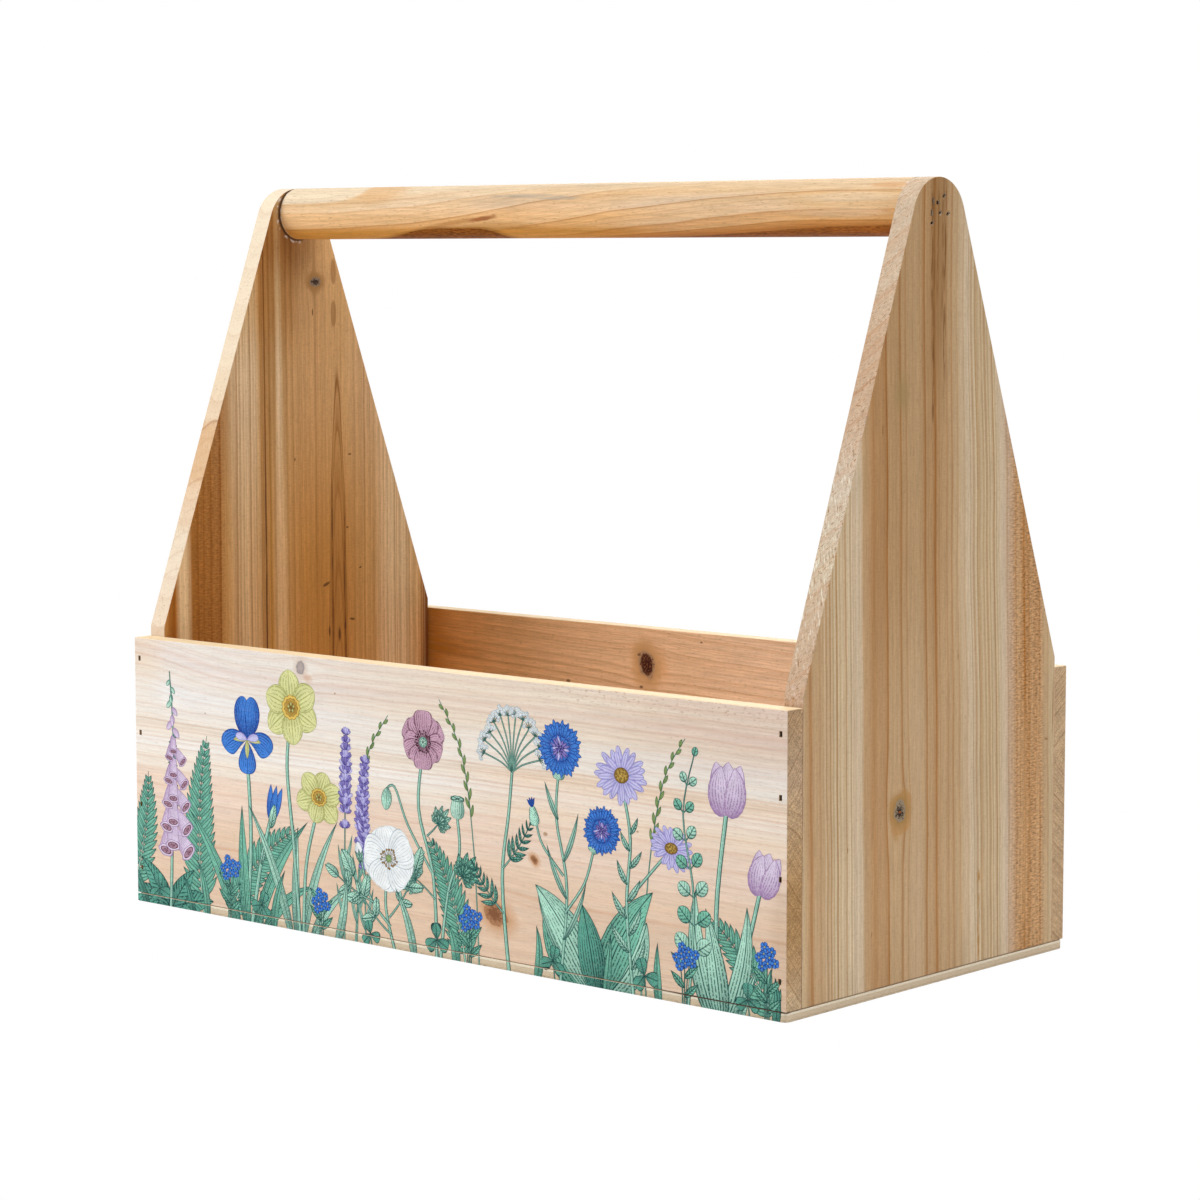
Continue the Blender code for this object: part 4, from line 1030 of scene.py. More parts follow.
        for hole in holes:
            faces.append(add_box(*hole))
        for window in windows:
            ids = add_box(*window)
            edges += zip(ids, ids[1:] + ids[:1])
        for start, end in cuts:
            places += [Vector(start), Vector(end)]
            edges.append((len(places) - 2, len(places) - 1))
        found, _, triangles, _, _, sources = delaunay_2d_cdt(places, edges, faces, INSIDE_SHAPES, SNAP_MM)
        found = np.array([tuple(p) for p in found])
        kept = {}
        for triangle, over in zip(triangles, sources):
            top = max(over) if over else -1
            if 0 <= top < len(self.shapes) and len(triangle) == 3:
                x, z = found[list(triangle)].mean(0)
                if any(x0 < x < x1 and z0 < z < z1 for x0, z0, x1, z1 in windows):
                    kept.setdefault(top, []).append(triangle)
        return found, kept

    def corner_marks(self, shape, points):
        """The marks at points in a shape, from its own triangles."""
        _, triangles, *_ = self.shapes[shape]
        corners = np.array([[self.places[i] for i in t] for t in triangles])
        marks = np.array([[self.marks[i] for i in t] for t in triangles])
        a, b, c = corners[:, 0], corners[:, 1], corners[:, 2]
        ab, ac = b - a, c - a
        area = ab[:, 0] * ac[:, 1] - ab[:, 1] * ac[:, 0]
        area = np.where(abs(area) < TINY_AREA, TINY_AREA, area)
        ap = points[:, None] - a
        v = (ap[..., 0] * ac[:, 1] - ap[..., 1] * ac[:, 0]) / area
        w = (ab[:, 0] * ap[..., 1] - ab[:, 1] * ap[..., 0]) / area
        shares = np.stack((1 - v - w, v, w), -1)
        best = shares.min(-1).argmax(-1)
        share = np.clip(shares[np.arange(len(points)), best], 0, 1)
        share /= share.sum(-1, keepdims=True)
        return (marks[best] * share[..., None]).sum(1)

    def make_mesh(self, name, y, windows, holes, cuts, map_place):
        """The print as one flat mesh at y, its inks and marks as attributes. map_place gives each corner's UV."""
        found, kept = self.flatten(windows, holes, cuts)
        faces, light, dark, marks = [], [], [], []
        for top, triangles in sorted(kept.items()):
            _, _, inks, rib = self.shapes[top]
            corners = np.array(triangles)
            values = self.corner_marks(top, found[corners.ravel()])
            faces.append(corners)
            ones = np.ones((len(values), 1))
            light.append(np.hstack((ones * inks[0], values[:, 4:5])))
            dark.append(np.hstack((ones * inks[1], ones * rib)))
            marks.append(values[:, :4])
        faces = np.concatenate(faces)
        used, numbers = np.unique(faces.ravel(), return_inverse=True)
        flat = found[used]
        mesh = bpy.data.meshes.new(name)
        mesh.from_pydata([(x / 1000, y / 1000, z / 1000) for x, z in flat], [], numbers.reshape(-1, 3).tolist())
        for key, values in (("ink_light", light), ("ink_dark", dark), ("ink_marks", marks)):
            layer = mesh.attributes.new(key, "FLOAT_COLOR", "CORNER")
            layer.data.foreach_set("color", np.concatenate(values).astype(np.float32).ravel())
        layer = mesh.uv_layers.new(name="OFBake")
        centres = np.repeat(found[faces].mean(1), 3, 0)
        layer.data.foreach_set("uv", map_place(found[faces.ravel()], centres).astype(np.float32).ravel())
        return mesh


chance = random.Random(11)
art = Artwork()


def blade(x, z, angle, length, width, bend, ink=TEAL_INK):
    """A strap-shaped leaf with long broken hatching."""
    art.leaf(x, z, angle, length, width, bend, ink, 0.35, 0.9, 12, (0.0, 0.0, 3.2), 0.85, 0.9, 0.5, 0.3)


def sprig(path, first, last, count, length, width, angle, ink):
    """Leaves in pairs along a stem's path, smaller towards its end, and one at its tip."""
    for k in range(count):
        x, z, way = on_path(path, first + (last - first) * k / (count - 1))
        size = 1 - 0.5 * k / (count - 1)
        for side in (1, -1):
            art.leaf(x, z, way + side * (angle + chance.uniform(-6, 6)), length * size * chance.uniform(0.88, 1.1),
                     width * size, side * -18, ink, steps=7)
    x, z, way = on_path(path, TIP)
    art.leaf(x, z, way, length * 0.5, width * 0.5, 4, ink, steps=7)


def fern(x, z, angle, length, bend, pairs, width):
    """A frond: narrow pinnae, longest low down, each with its own notched edge."""
    path = arc_path(x, z, angle, length, bend, 14, False)
    for k in reversed(range(pairs)):
        share = 0.12 + 0.86 * k / pairs
        px, pz, way = on_path(path, share)
        size = math.sin(math.pi * min(0.28 + 0.72 * share, 0.985)) ** 0.8
        for side in (1, -1):
            turn = side * (68 - 26 * share)
            art.leaf(px, pz, way + turn, width * size + 0.8, length / pairs * 0.92 * (0.5 + 0.5 * size), -side * 24,
                     TEAL_INK, 0.45, 0.9, 6, (1.5, -1.3, 0.0), 0.8, 0.7, 0.3, 0.2)
    widths = [0.55 * (1 - s) + 0.15 for s in shares_of(path)[0]]
    art.ribbon(path, widths, STEM_INK, shade=lambda s, e: 0.5 * max(-e, 0))


def foxglove(x, z, height):
    """A spike of hanging bells, buds at its tip."""
    for angle, length, width, bend in ((152, 34, 13, 34), (30, 32, 13, -30), (122, 32, 12, 18), (60, 28, 11, -16)):
        art.leaf(x - 2, z, angle, length, width, bend, DEEP_INK, 0.6, 1.0, 12, (0.36, -0.42, 0.0), 0.9, 1.0, 0.6,
                 0.3)
    path = art.stem([(x - 2, z), (x, z + height * 0.4), (x + 1, z + height * 0.75), (x - 1, z + height)], 2.4, 0.7)
    places = 23
    for k in range(places):
        px, pz, _ = on_path(path, 0.34 + 0.65 * k / places)
        size = 1.42 * (1 - 0.78 * k / places)
        side = (1, -1, 0)[k % 3]
        if k > 14:
            art.leaf(px, pz, -90 + side * 54, 7.5 * size + 1.0, 4.0 * size + 0.8, -side * 20,
                     (ORCHID_INK, PALE_INK)[k > 18], 0.5, 0.6, 7, (0, 0, 2), 0.6, 0, 0.5)
            continue
        angle = -62 + side * 30 if side > 0 else -118 if side else -90
        mouth = arc_path(px, pz, angle, 10.5 * size, -side * 16, 8)
        widths = [s * size for s in (0.4, 1.5, 2.3, 2.7, 2.9, 3.1, 3.3, 3.5, 3.5)]
        art.ribbon(mouth, widths, ORCHID_INK, (0, 0, 4), 0.65, 0.0, lambda s, e: 0.4 * (1 - s) + 0.35 * max(-e, 0))
        (mx, mz), turn = mouth[-1], on_path(mouth, TIP)[2] + 90
        art.disc(mx, mz, 8.4 * size, 4.4 * size, ORCHID_INK, turn, 5, 0.14, 18, 0.0, 0.0, 0.2, 0.0)
        art.disc(mx, mz, 5.8 * size, 2.6 * size, PLUM_INK, turn, middle=0.9, rim=0.1)
        art.dots(mx, mz, 5, 1.8 * size, 0.5 * size, WINE_INK, 0.5)
        art.leaf(px, pz, angle + side * 62 + (0 if side else 70), 4.0 * size, 2.2 * size, 10, LEAF_INK, steps=5)


def tulip(x, z, lean, size, ink):
    """A cup of overlapping petals on a bare stem's top."""
    hatch = (0, 0, 3.5)
    for dx, angle, width in ((-0.75, 104, 7), (0.75, 76, 7), (0, 90, 8)):
        art.leaf(x + dx * size, z, angle + lean, 14.5 * size, width * size, 0, ink, 0.6, 0.75, 9, hatch, 0.75, 0,
                 0.7, 0.25)
    for dx, angle, bend in ((-0.77, 122, -52), (0.77, 58, 52)):
        art.leaf(x + dx * size, z - 0.4, angle + lean, 14 * size, 7.4 * size, bend, ink, 0.55, 0.8, 9, hatch, 0.8,
                 0, 0.75, 0.3)


def cornflower(x, z, size, lean):
    """Toothed blue florets round a violet middle, over a scaly cup."""
    dx, dz = heading(lean, 10.5 * size)
    cup = arc_path(x - dx, z - dz, lean, 7.0 * size, 0, 7)
    art.ribbon(cup, [s * size for s in (0.7, 2.1, 2.7, 2.8, 2.6, 2.2, 1.8, 1.5)], LEAF_INK, (1.1, -0.9, 0), 0.95,
               0.0, lambda s, e: 0.3 * max(-e, 0) + 0.15)
    for ring, far in ((15, 1.0), (12, 0.8)):
        for k in range(ring):
            way = lean + 360 * (k + 0.5 * (ring == 12)) / ring + chance.uniform(-5, 5)
            length = 6.2 * size * far * chance.uniform(0.92, 1.06)
            path = arc_path(x, z, way, length, 0, 4)
            art.ribbon(path, [s * size for s in (0.3, 0.5, 0.8, 1.2, 1.6)], BLUE_INK, LONG, 0.7, 0.0,
                       lambda share, e: 0.8 * (1 - share))
            ex, ez = on_path(path, 0.86)[:2]
            for tooth in (-46, 46, -24, 24, 0):
                art.leaf(ex, ez, way + tooth, 4.8 * size * (1 - abs(tooth) / 150), 1.9 * size, tooth * 0.3,
                         BLUE_INK, 0.8, 0.8, 5, LONG, 0.6, 0, 0.45, 0.1)
    for k in range(16):
        art.leaf(x, z, 22.5 * k + chance.uniform(-8, 8), chance.uniform(3.4, 4.8) * size, 1.3 * size,
                 chance.uniform(-25, 25), (VIOLET_INK, LILAC_INK)[k % 4 == 0], 0.4, 0.6, 4, LONG, 0, 0, 0.7)
    art.dots(x, z, 11, 2.0 * size, 0.7 * size, NAVY_INK)


def lavender(x, z, height, lean):
    """Whorls of small buds, the lowest one apart."""
    path = art.stem([(x, z), (x + lean * 0.4, z + height * 0.5), (x + lean, z + height)], 1.1, 0.6)
    for share, turn in ((0.12, 24), (0.18, -24), (0.3, 20), (0.36, -22)):
        px, pz, way = on_path(path, share)
        art.leaf(px, pz, way + turn, 17, 2.2, -turn * 0.5, PALE_INK, 0.5, 1.0, 7, LONG, 0.3, 0.8)
    whorls = 13
    for k in range(whorls):
        if k == 1:
            continue
        px, pz, way = on_path(path, min(0.55 + 0.44 * k / (whorls - 1), 0.995))
        size = 1.25 * (1.0 - 0.6 * abs(k - 4) / whorls) * chance.uniform(0.92, 1.08)
        for turn in (76, -76, 50, -50, 24, -24, 0):
            art.leaf(px, pz, way + turn + chance.uniform(-7, 7), 4.3 * size, 1.9 * size, -turn * 0.25,
                     (VIOLET_INK, LILAC_INK)[(k + turn) % 3 == 0], 0.6, 0.55, 5, LONG, 0.6, 0, 0.6, 0.2)
        art.disc(px + chance.uniform(-2.4, 2.4) * size, pz + 0.8, 2.4 * size, 2.1 * size, LILAC_INK,
                 chance.uniform(0, 90), 4, 0.3, 12, middle=0.8)


def wild_rose(x, z, size, squash, lean):
    """Five broad petals, a ring of stamens and a green middle."""
    for k in range(5):
        a = math.radians(90 + 72 * k + 10)
        u, v = math.cos(a), math.sin(a) * squash
        way, far = math.degrees(math.atan2(v, u)) + lean, math.hypot(u, v)
        for turn in (20, -20):
            art.leaf(x, z, way + turn, 11.6 * size * far, 9.0 * size, -turn * 0.4, WHITE_INK, 0.85, 0.36, 14,
                     (0, 0, 3), 0.55, 0, 0.25, 0.1)
        art.leaf(x, z, way, 11.2 * size * far, 8.6 * size, 0, WHITE_INK, 0.9, 0.34, 14, (0, 0, 4), 0.6, 0, 0.35,
                 0.0)
    for k in range(26):
        way = 360 * k / 26 + chance.uniform(-6, 6)
        dx, dz = heading(way, chance.uniform(2.6, 3.8) * size)
        art.ribbon([(x, z), (x + dx, z + dz * squash)], [0.12, 0.12], OCHRE_INK)
        art.disc(x + dx, z + dz * squash, 0.85 * size, 0.85 * size, OCHRE_INK, points=6, middle=0.2, rim=0.5)
    art.disc(x, z, 2.8 * size, 2.6 * size, MOSS_INK, rings=2.0, strength=0.8, middle=0.2, rim=0.3)


def umbel(x, z, width, height, count):
    """Rays from one point, each with a small dome of white flowers on rays of its own."""
    for k in range(count):
        share = (k + 0.5) / count
        length = height * (0.84 + 0.16 * math.sin(math.pi * share)) * chance.uniform(0.93, 1.04)
        dx, dz = heading(168 - 156 * share, length)
        dx *= width / height / 2
        art.ribbon(curve([(x, z), (x + dx * 0.36, z + dz * 0.52), (x + dx * 0.92, z + dz * 0.94)], 4), [0.4] * 9,
                   STEM_INK)
        cx, cz, lean = x + dx * 0.92, z + dz * 0.94, math.degrees(math.atan2(dz, dx * 0.6))
        for j in range(7):
            ex, ez = heading(lean + (j - 3) * 26, 3.4 * chance.uniform(0.8, 1.1))
            art.ribbon([(cx, cz), (cx + ex, cz + ez)], [0.2, 0.2], STEM_INK)
            for _ in range(2):
                fx, fz = cx + ex + chance.uniform(-0.7, 0.7), cz + ez + chance.uniform(-0.7, 0.7)
                art.disc(fx, fz, 2.5, 2.3, WHITE_INK, chance.uniform(0, 70), 5, 0.42, 15, middle=0.5)
            art.disc(fx, fz, 0.5, 0.5, LEMON_INK, points=5)


def poppy(x, z, size):
    """Broad creased petals round a dark ring and a pale seed head."""
    for way, far, width in ((150, 10.5, 14), (30, 10.5, 14), (90, 11, 15), (205, 9.5, 12), (-25, 9.5, 12),
                            (-90, 9.5, 15)):
        for turn in (-24, 24, 0):
            art.leaf(x, z, way + turn, far * size * (1 - abs(turn) / 260), width * size * 0.6, turn * 0.3, PLUM_INK,
                     0.85, 0.3, 13, (0, 0, 4.5), 0.9, 0, 0.5, 0.12)
    for k in range(30):
        way = 12 * k + chance.uniform(-5, 5)
        dx, dz = heading(way, chance.uniform(2.8, 4.0) * size)
        art.ribbon([(x, z), (x + dx, z + dz)], [0.1, 0.14], WINE_INK)
        art.disc(x + dx, z + dz, 0.8 * size, 0.8 * size, WINE_INK, points=6, middle=0.7, rim=0.7)
    art.disc(x, z, 4.0 * size, 3.8 * size, PALE_INK, points=14, rings=1.5, strength=0.7, middle=0.0, rim=0.35)
    for k in range(7):
        dx, dz = heading(25 + 360 * k / 7, 1.7 * size)
        art.ribbon([(x, z), (x + dx, z + dz)], [0.16, 0.1], DEEP_INK)


def iris(x, z, size):
    """Three petals up and three hanging ones with a yellow tongue."""
    art.leaf(x, z, 90, 15 * size, 9 * size, 0, NAVY_INK, 0.95, 0.5, 12, (0, 0, 4), 0.9, 0.6, 0.5, 0.3)
    for angle, bend in ((124, -58), (56, 58)):
        art.leaf(x, z, angle, 18.5 * size, 9 * size, bend, BLUE_INK, 0.95, 0.55, 14, (0, 0, 4.5), 1.0, 0.5, 0.8,
                 0.45)
    for angle, bend in ((168, 62), (12, -62), (-90, 0)):
        length = 15 if bend else 14
        art.leaf(x, z, angle, length * size, 10.5 * size, bend, BLUE_INK, 1.0, 0.42, 14, (0, 0, 4.5), 0.9, 0.6, 0.7,
                 0.2)
        art.leaf(x, z, angle, length * 0.55 * size, 2.6 * size, bend * 0.5, LEMON_INK, 0.7, 0.8, 7, (2.0, 0, 0),
                 0.8, 0.8, 0.3)
    for angle, bend in ((150, 40), (30, -40)):
        art.leaf(x, z, angle, 7 * size, 3.4 * size, bend, LILAC_INK, 0.8, 0.5, 7, (0, 0, 2), 0.6, 0, 0.4)


def daffodil(x, z, size, squash, lean):
    """Six pointed petals round a frilled trumpet."""
    for start in (0, 60):
        art.petals(x, z, 3, 13.5 * size, 10.5 * size, LEMON_INK, 90 + start, squash, lean, 0.75, 0.62, 1.0, 0.04, 6,
                   0.75, 0.6, 0.6, 12, 3.5)
    for wide, ink, middle, rim in ((9.6, GOLD_INK, 0.6, 0.0), (7.0, GOLD_INK, 1.0, 0.45),
                                   (3.6, OCHRE_INK, 1.0, 0.6)):
        art.disc(x, z, wide * size, wide * size * squash, ink, lean + wide, 11, 0.13, 44, 1.5, 0.5, middle, rim)
    for k in range(5):
        dx, dz = heading(72 * k + 20, 1.3 * size)
        art.disc(x + dx, z + dz * squash, 1.0 * size, 1.3 * size, LEMON_INK, points=7, rim=0.4)


def aster(x, z, size, squash, lean):
    """Two rings of narrow petals and a dotted disc."""
    for count, length, width, start, inner, jitter in ((17, 9.4, 2.4, 5, 1.6, 0.08), (13, 8.2, 2.3, 16, 1.4, 0.1)):
        art.petals(x, z, count, length * size, width * size, LILAC_INK, start, squash, lean, 0.5, 0.45,
                   inner * size, jitter, 6, 0.6, 0.55, 0.5, 6, 1.5)
    art.disc(x, z, 5.4 * size, 5.2 * size * squash, OCHRE_INK, points=16, rings=2.4, strength=0.6, middle=0.0,
             rim=0.45)
    art.dots(x, z, 16, 2.3 * size, 0.7 * size, OCHRE_INK, squash)


def little_flowers(x, z, spread, count):
    """A loose head of small five-petalled flowers."""
    for k in range(count):
        a, far = GOLDEN_ANGLE * k, spread * math.sqrt((k + 0.3) / count)
        fx, fz = x + far * math.cos(a), z + far * math.sin(a) * 0.8
        art.petals(fx, fz, 5, 2.3, 2.1, BLUE_INK, chance.uniform(0, 70), 0.95, 0, 0.8, 0.35, 0.2, 0.03, 0, 0.3, 0.3,
                   0, 5)
        art.disc(fx, fz, 0.9, 0.9, LEMON_INK, points=6, rim=0.4)


def clover(x, z, size, turn):
    """Three notched leaves with a pale band each."""
    for way in (turn + 90, turn + 210, turn - 30):
        art.leaf(x, z, way, 7 * size, 6.2 * size, 0, DEEP_INK, 0.9, 0.35, 7, (0.9, -0.8, 0), 0.7, 0.8, 0.5, 0.2)
        dx, dz = heading(way, 3.3 * size)
        for side in (40, -40):
            art.ribbon(arc_path(x + dx, z + dz, way + side + 70 * (1 if side > 0 else -1), 2.4 * size, 0, 3),
                       [0.05, 0.35, 0.3, 0.05], PALE_INK)


def seed_head(x, z, size):
    """A poppy's capsule with a ribbed cap."""
    cup = arc_path(x, z - 5.5 * size, 90, 8 * size, 0, 8)
    art.ribbon(cup, [s * size for s in (0.8, 2.0, 3.1, 3.6, 3.7, 3.4, 3.0, 2.6, 2.3)], PALE_INK, (0, 0, 3), 0.7,
               0.0, lambda s, e: 0.55 * max(-e, 0) + 0.2 * (1 - s))
    art.disc(x, z + 2.4 * size, 8.0 * size, 2.6 * size, LEAF_INK, 0, 8, 0.12, 24, middle=0.1, rim=0.4)
    for k in range(7):
        end = x + (k - 3) * 1.2 * size, z + 2.4 * size + 0.7 * size * (1 if k % 2 else -1)
        art.ribbon([(x, z + 2.4 * size), end], [0.2, 0.12], DEEP_INK)


def grass_ear(points, count, size):
    """A bending stalk with seeds on short stalks."""
    path = art.stem(points, 0.9, 0.35, PALE_INK)
    for k in range(count):
        share = 0.55 + 0.44 * k / count
        x, z, way = on_path(path, share)
        side = 1 if k % 2 else -1
        art.leaf(x, z, way + side * 26, (5.6 - 2.4 * k / count) * size, 1.7 * size, -side * 14, MOSS_INK, 0.7, 0.8,
                 6, LONG, 0.6, 0.6, 0.4, 0.2)


def divided_leaf(x, z, angle, length, ink=LEAF_INK):
    """A leaf of deep pointed lobes."""
    path = art.stem(arc_path(x, z, angle, length * 0.55, 14, 4), 1.1, 0.7)
    x, z, way = on_path(path, TIP)
    for turn, size in ((96, 0.55), (-96, 0.55), (58, 0.8), (-58, 0.8), (26, 0.9), (-26, 0.9), (0, 1.0)):
        art.leaf(x, z, way + turn, length * 0.6 * size, length * 0.17, -turn * 0.2, ink, 0.85, 0.8, 9, VEINS, 0.8,
                 0.9, 0.5)
        for side in (1, -1):
            dx, dz = heading(way + turn, length * 0.24 * size)
            art.leaf(x + dx, z + dz, way + turn + side * 40, length * 0.22 * size, length * 0.08, -side * 12, ink,
                     0.8, 0.8, 6, LONG, 0.5, 0.8, 0.3)


def round_spray(points, count, size):
    """A stem with round leaves on short stalks, smaller upwards."""
    path = art.stem(points, 1.7, 0.6)
    for k in range(count):
        share = 0.22 + 0.76 * k / (count - 1)
        px, pz, way = on_path(path, min(share, 0.995))
        scale = size * (1 - 0.62 * k / count)
        for side in ((1, -1) if k < count - 1 else (0,)):
            turn = side * (62 - 18 * share)
            dx, dz = heading(way + turn, 3.2 * scale)
            art.ribbon([(px, pz), (px + dx, pz + dz)], [0.35, 0.3], STEM_INK)
            art.leaf(px + dx * 0.8, pz + dz * 0.8, way + turn, 8.6 * scale, 7.4 * scale, -side * 12,
                     (LEAF_INK, TEAL_INK)[k % 2], 0.6, 0.6, 9, (0.55, -0.4, 0), 0.8, 0.9, 0.45, 0.25)


def rose_leaf(x, z, angle, length, bend):
    """Five or seven toothed leaflets."""
    path = art.stem(arc_path(x, z, angle, length, bend, 8), 1.2, 0.7, steps=2)
    for share, size in ((0.36, 0.72), (0.66, 0.9), (0.97, 1.1)):
        px, pz, way = on_path(path, share)
        for turn in ((58, -58) if share < 0.9 else (0,)):
            long, wide = length * 0.36 * size, length * 0.19 * size
            side = 1 if turn > 0 else -1
            for tooth in range(5):
                dx, dz = heading(way + turn, long * (0.22 + 0.14 * tooth))
                for edge in (1, -1):
                    art.leaf(px + dx, pz + dz, way + turn + edge * 50, wide * (0.62 - 0.07 * tooth), wide * 0.3, 0,
                             LEAF_INK, 0.8, 0.6, 4, LONG, 0, 0, 0.3)
            art.leaf(px, pz, way + turn, long, wide, -side * 10, LEAF_INK, 0.55, 0.75, 10, (0.62, -0.75, 0), 0.9,
                     1.0, 0.5, 0.3)


def draw_meadow():
    """The whole picture, from the farthest plants to the nearest."""
    # Ferns and grasses behind
    fern(-152, -2, 100, 88, -24, 18, 15)
    fern(-137, -4, 66, 74, -40, 16, 13)
    fern(-204, 4, 66, 62, 24, 14, 12)
    grass_ear([(28, -2), (25, 50), (18, 92), (4, 116)], 14, 1.1)
    grass_ear([(122, -2), (126, 52), (134, 92), (146, 112)], 14, 1.1)
    grass_ear([(-50, -2), (-46, 44), (-42, 84), (-28, 106)], 13, 1.1)
    fern(20, -3, 98, 62, 28, 15, 12)
    fern(196, -3, 118, 56, 26, 13, 12)
    # Foxglove
    foxglove(-174, -2, 116)
    # Irises
    for points in ([(-122, -2), (-119, 40), (-121, 78)], [(-119, -2), (-112, 30), (-105, 52)]):
        art.stem(points, 2.8, 2.2)
    art.leaf(-112.4, 28, 70, 12, 3.4, 12, LEAF_INK)
    for x, angle, length, width, bend in (
        (-128, 112, 62, 7.5, 22), (-116, 72, 66, 7.0, -30), (-122, 97, 58, 7.5, -8), (-110, 58, 44, 6.5, -44),
    ):
        blade(x, -3, angle, length, width, bend)
    for dx, angle in ((-1.2, 100), (1.2, 82), (0, 91)):
        art.leaf(-105 + dx, 50, angle - 14, 17, 4.6, 0, BLUE_INK, 0.6, 0.9, 8, (0, 0, 2.5), 0.8, 0, 0.4)
    art.leaf(-105.5, 46, 74, 12, 5, 4, LEAF_INK, 0.6, 0.7)
    art.leaf(-121, 72, 98, 12, 4.4, -6, LEAF_INK, 0.6, 0.9)
    iris(-121, 86, 1.15)
    # Daffodils
    for x, angle, length, bend in ((-92, 106, 66, 20), (-84, 80, 62, -24), (-88, 95, 52, -12), (-78, 66, 40, -40)):
        blade(x, -3, angle, length, 5.6, bend, LEAF_INK)
    art.stem([(-86, -2), (-90, 40), (-94, 76), (-91, 100)], 2.4, 2.0)
    art.stem([(-84, -2), (-82, 30), (-76, 52), (-72, 60)], 2.2, 1.9)
    daffodil(-91, 104, 1.35, 0.95, 6)
    daffodil(-73, 64, 1.15, 0.8, -16)
    # Lavender
    for x, height, lean in ((-57, 98, 2), (-49, 86, 6), (-43, 66, -1)):
        lavender(x, -2, height, lean)
    # Plum poppy with its seed head and bud
    art.stem([(2, -2), (0, 36), (-9, 66), (-6, 92)], 2.2, 1.7)
    art.stem([(4, -2), (9, 30), (16, 48), (15, 64)], 2.0, 1.6)
    art.stem([(-1, 38), (-16, 58), (-24, 74), (-30, 72)], 1.5, 1.2)
    art.leaf(-28.6, 73.4, -96, 10.5, 6.6, 0, LEAF_INK, 0.6, 0.6, 9, (0, 0, 3), 0.8, 0.5, 0.4, 0.3)
    divided_leaf(1, 26, 140, 26)
    divided_leaf(9, 30, 36, 22, TEAL_INK)
    divided_leaf(-4, 54, 34, 17)
    seed_head(15, 70, 1.15)
    poppy(-6, 96, 1.3)
    # White umbel
    umbel_stem = art.stem([(46, -2), (42, 40), (46, 70), (48, 88)], 2.3, 1.6)
    for share, turn in ((0.3, 48), (0.52, -44)):
        x, z, way = on_path(umbel_stem, share)
        path = art.stem(arc_path(x, z, way + turn, 26, -turn * 0.4, 8), 1.1, 0.5, steps=2)
        sprig(path, 0.25, 0.92, 6, 9, 2.6, 52, TEAL_INK)
    umbel(48, 88, 44, 27, 12)
    # Broad ribbed leaves
    for x, angle, length, width, bend, ink in (
        (93, 142, 46, 18, -34, TEAL_INK), (101, 38, 44, 17, 36, LEAF_INK), (95, 114, 56, 19, 26, LEAF_INK),
        (99, 74, 58, 18, -30, TEAL_INK), (97, 98, 40, 15, 8, DEEP_INK),
    ):
        art.leaf(x, -4, angle, length, width, bend, ink, 0.7, 0.95, 14, (0, 0, 5), 0.85, 1.0, 0.6, 0.3)
    # Cornflowers
    art.stem([(76, -2), (80, 40), (74, 70), (75, 89)], 1.9, 1.4)
    art.stem([(79, 30), (90, 44), (95, 58)], 1.5, 1.3)
    art.stem([(78, 46), (66, 58), (62, 68)], 1.4, 1.2)
    for x, z, angle, length, bend in ((80, 36, 128, 26, -22), (78, 52, 60, 24, 18), (75, 70, 124, 18, -16),
                                      (78, 18, 52, 30, 24), (77, 10, 130, 30, -24)):
        art.leaf(x, z, angle, length, 2.8, bend, LEAF_INK, 0.5, 1.0, 9, LONG, 0.6, 0.9)
    cornflower(76, 101, 1.3, 86)
    cornflower(100, 68, 1.1, 58)
    bud = arc_path(61.8, 66, 104, 8.5, 0, 6)
    art.ribbon(bud, [0.9, 2.3, 2.9, 2.8, 2.2, 1.7, 1.3], LEAF_INK, (0.9, -0.8, 0), 0.9,
               shade=lambda s, e: 0.4 * max(-e, 0))
    for turn in (-26, -9, 9, 26):
        art.leaf(*on_path(bud, 0.97)[:2], 104 + turn, 4.6, 1.6, turn * 0.4, BLUE_INK)
    # Lilac asters
    aster_stem = art.stem([(118, -2), (114, 36), (116, 66), (112, 86)], 2.1, 1.6)
    art.stem([(114.6, 40), (128, 54), (136, 62)], 1.6, 1.4)
    for k in range(9):
        x, z, way = on_path(aster_stem, 0.14 + 0.082 * k)
        side = 1 if k % 2 else -1
        art.leaf(x, z, way + side * 48, 17 - k, 4.2 - 0.2 * k, -side * 26, LEAF_INK)
    for turn in (-50, -18, 18, 50):
        art.leaf(112, 84, 97 + turn, 7, 2.2, 0, LEAF_INK)
        art.leaf(135, 61, 50 + turn, 6.4, 2.1, 0, LEAF_INK)
    aster(111, 93, 1.55, 0.86, 8)
    aster(138.6, 65, 1.35, 0.72, -24)
    # Tulips
    art.stem([(166, -2), (163, 40), (168, 82)], 2.6, 2.3)
    art.stem([(170, -2), (180, 30), (186, 52)], 2.4, 2.1)
    for x, angle, length, width, bend in ((162, 118, 54, 11, -34), (169, 62, 50, 10.5, 32), (166, 96, 46, 11, 10)):
        blade(x, -3, angle, length, width, bend, LEAF_INK)
    tulip(168, 82, -3, 1.55, ORCHID_INK)
    tulip(186, 51, -16, 1.3, ORCHID_INK)
    # Round-leaved spray
    round_spray([(148, -2), (151, 44), (145, 80), (151, 106)], 8, 1.05)
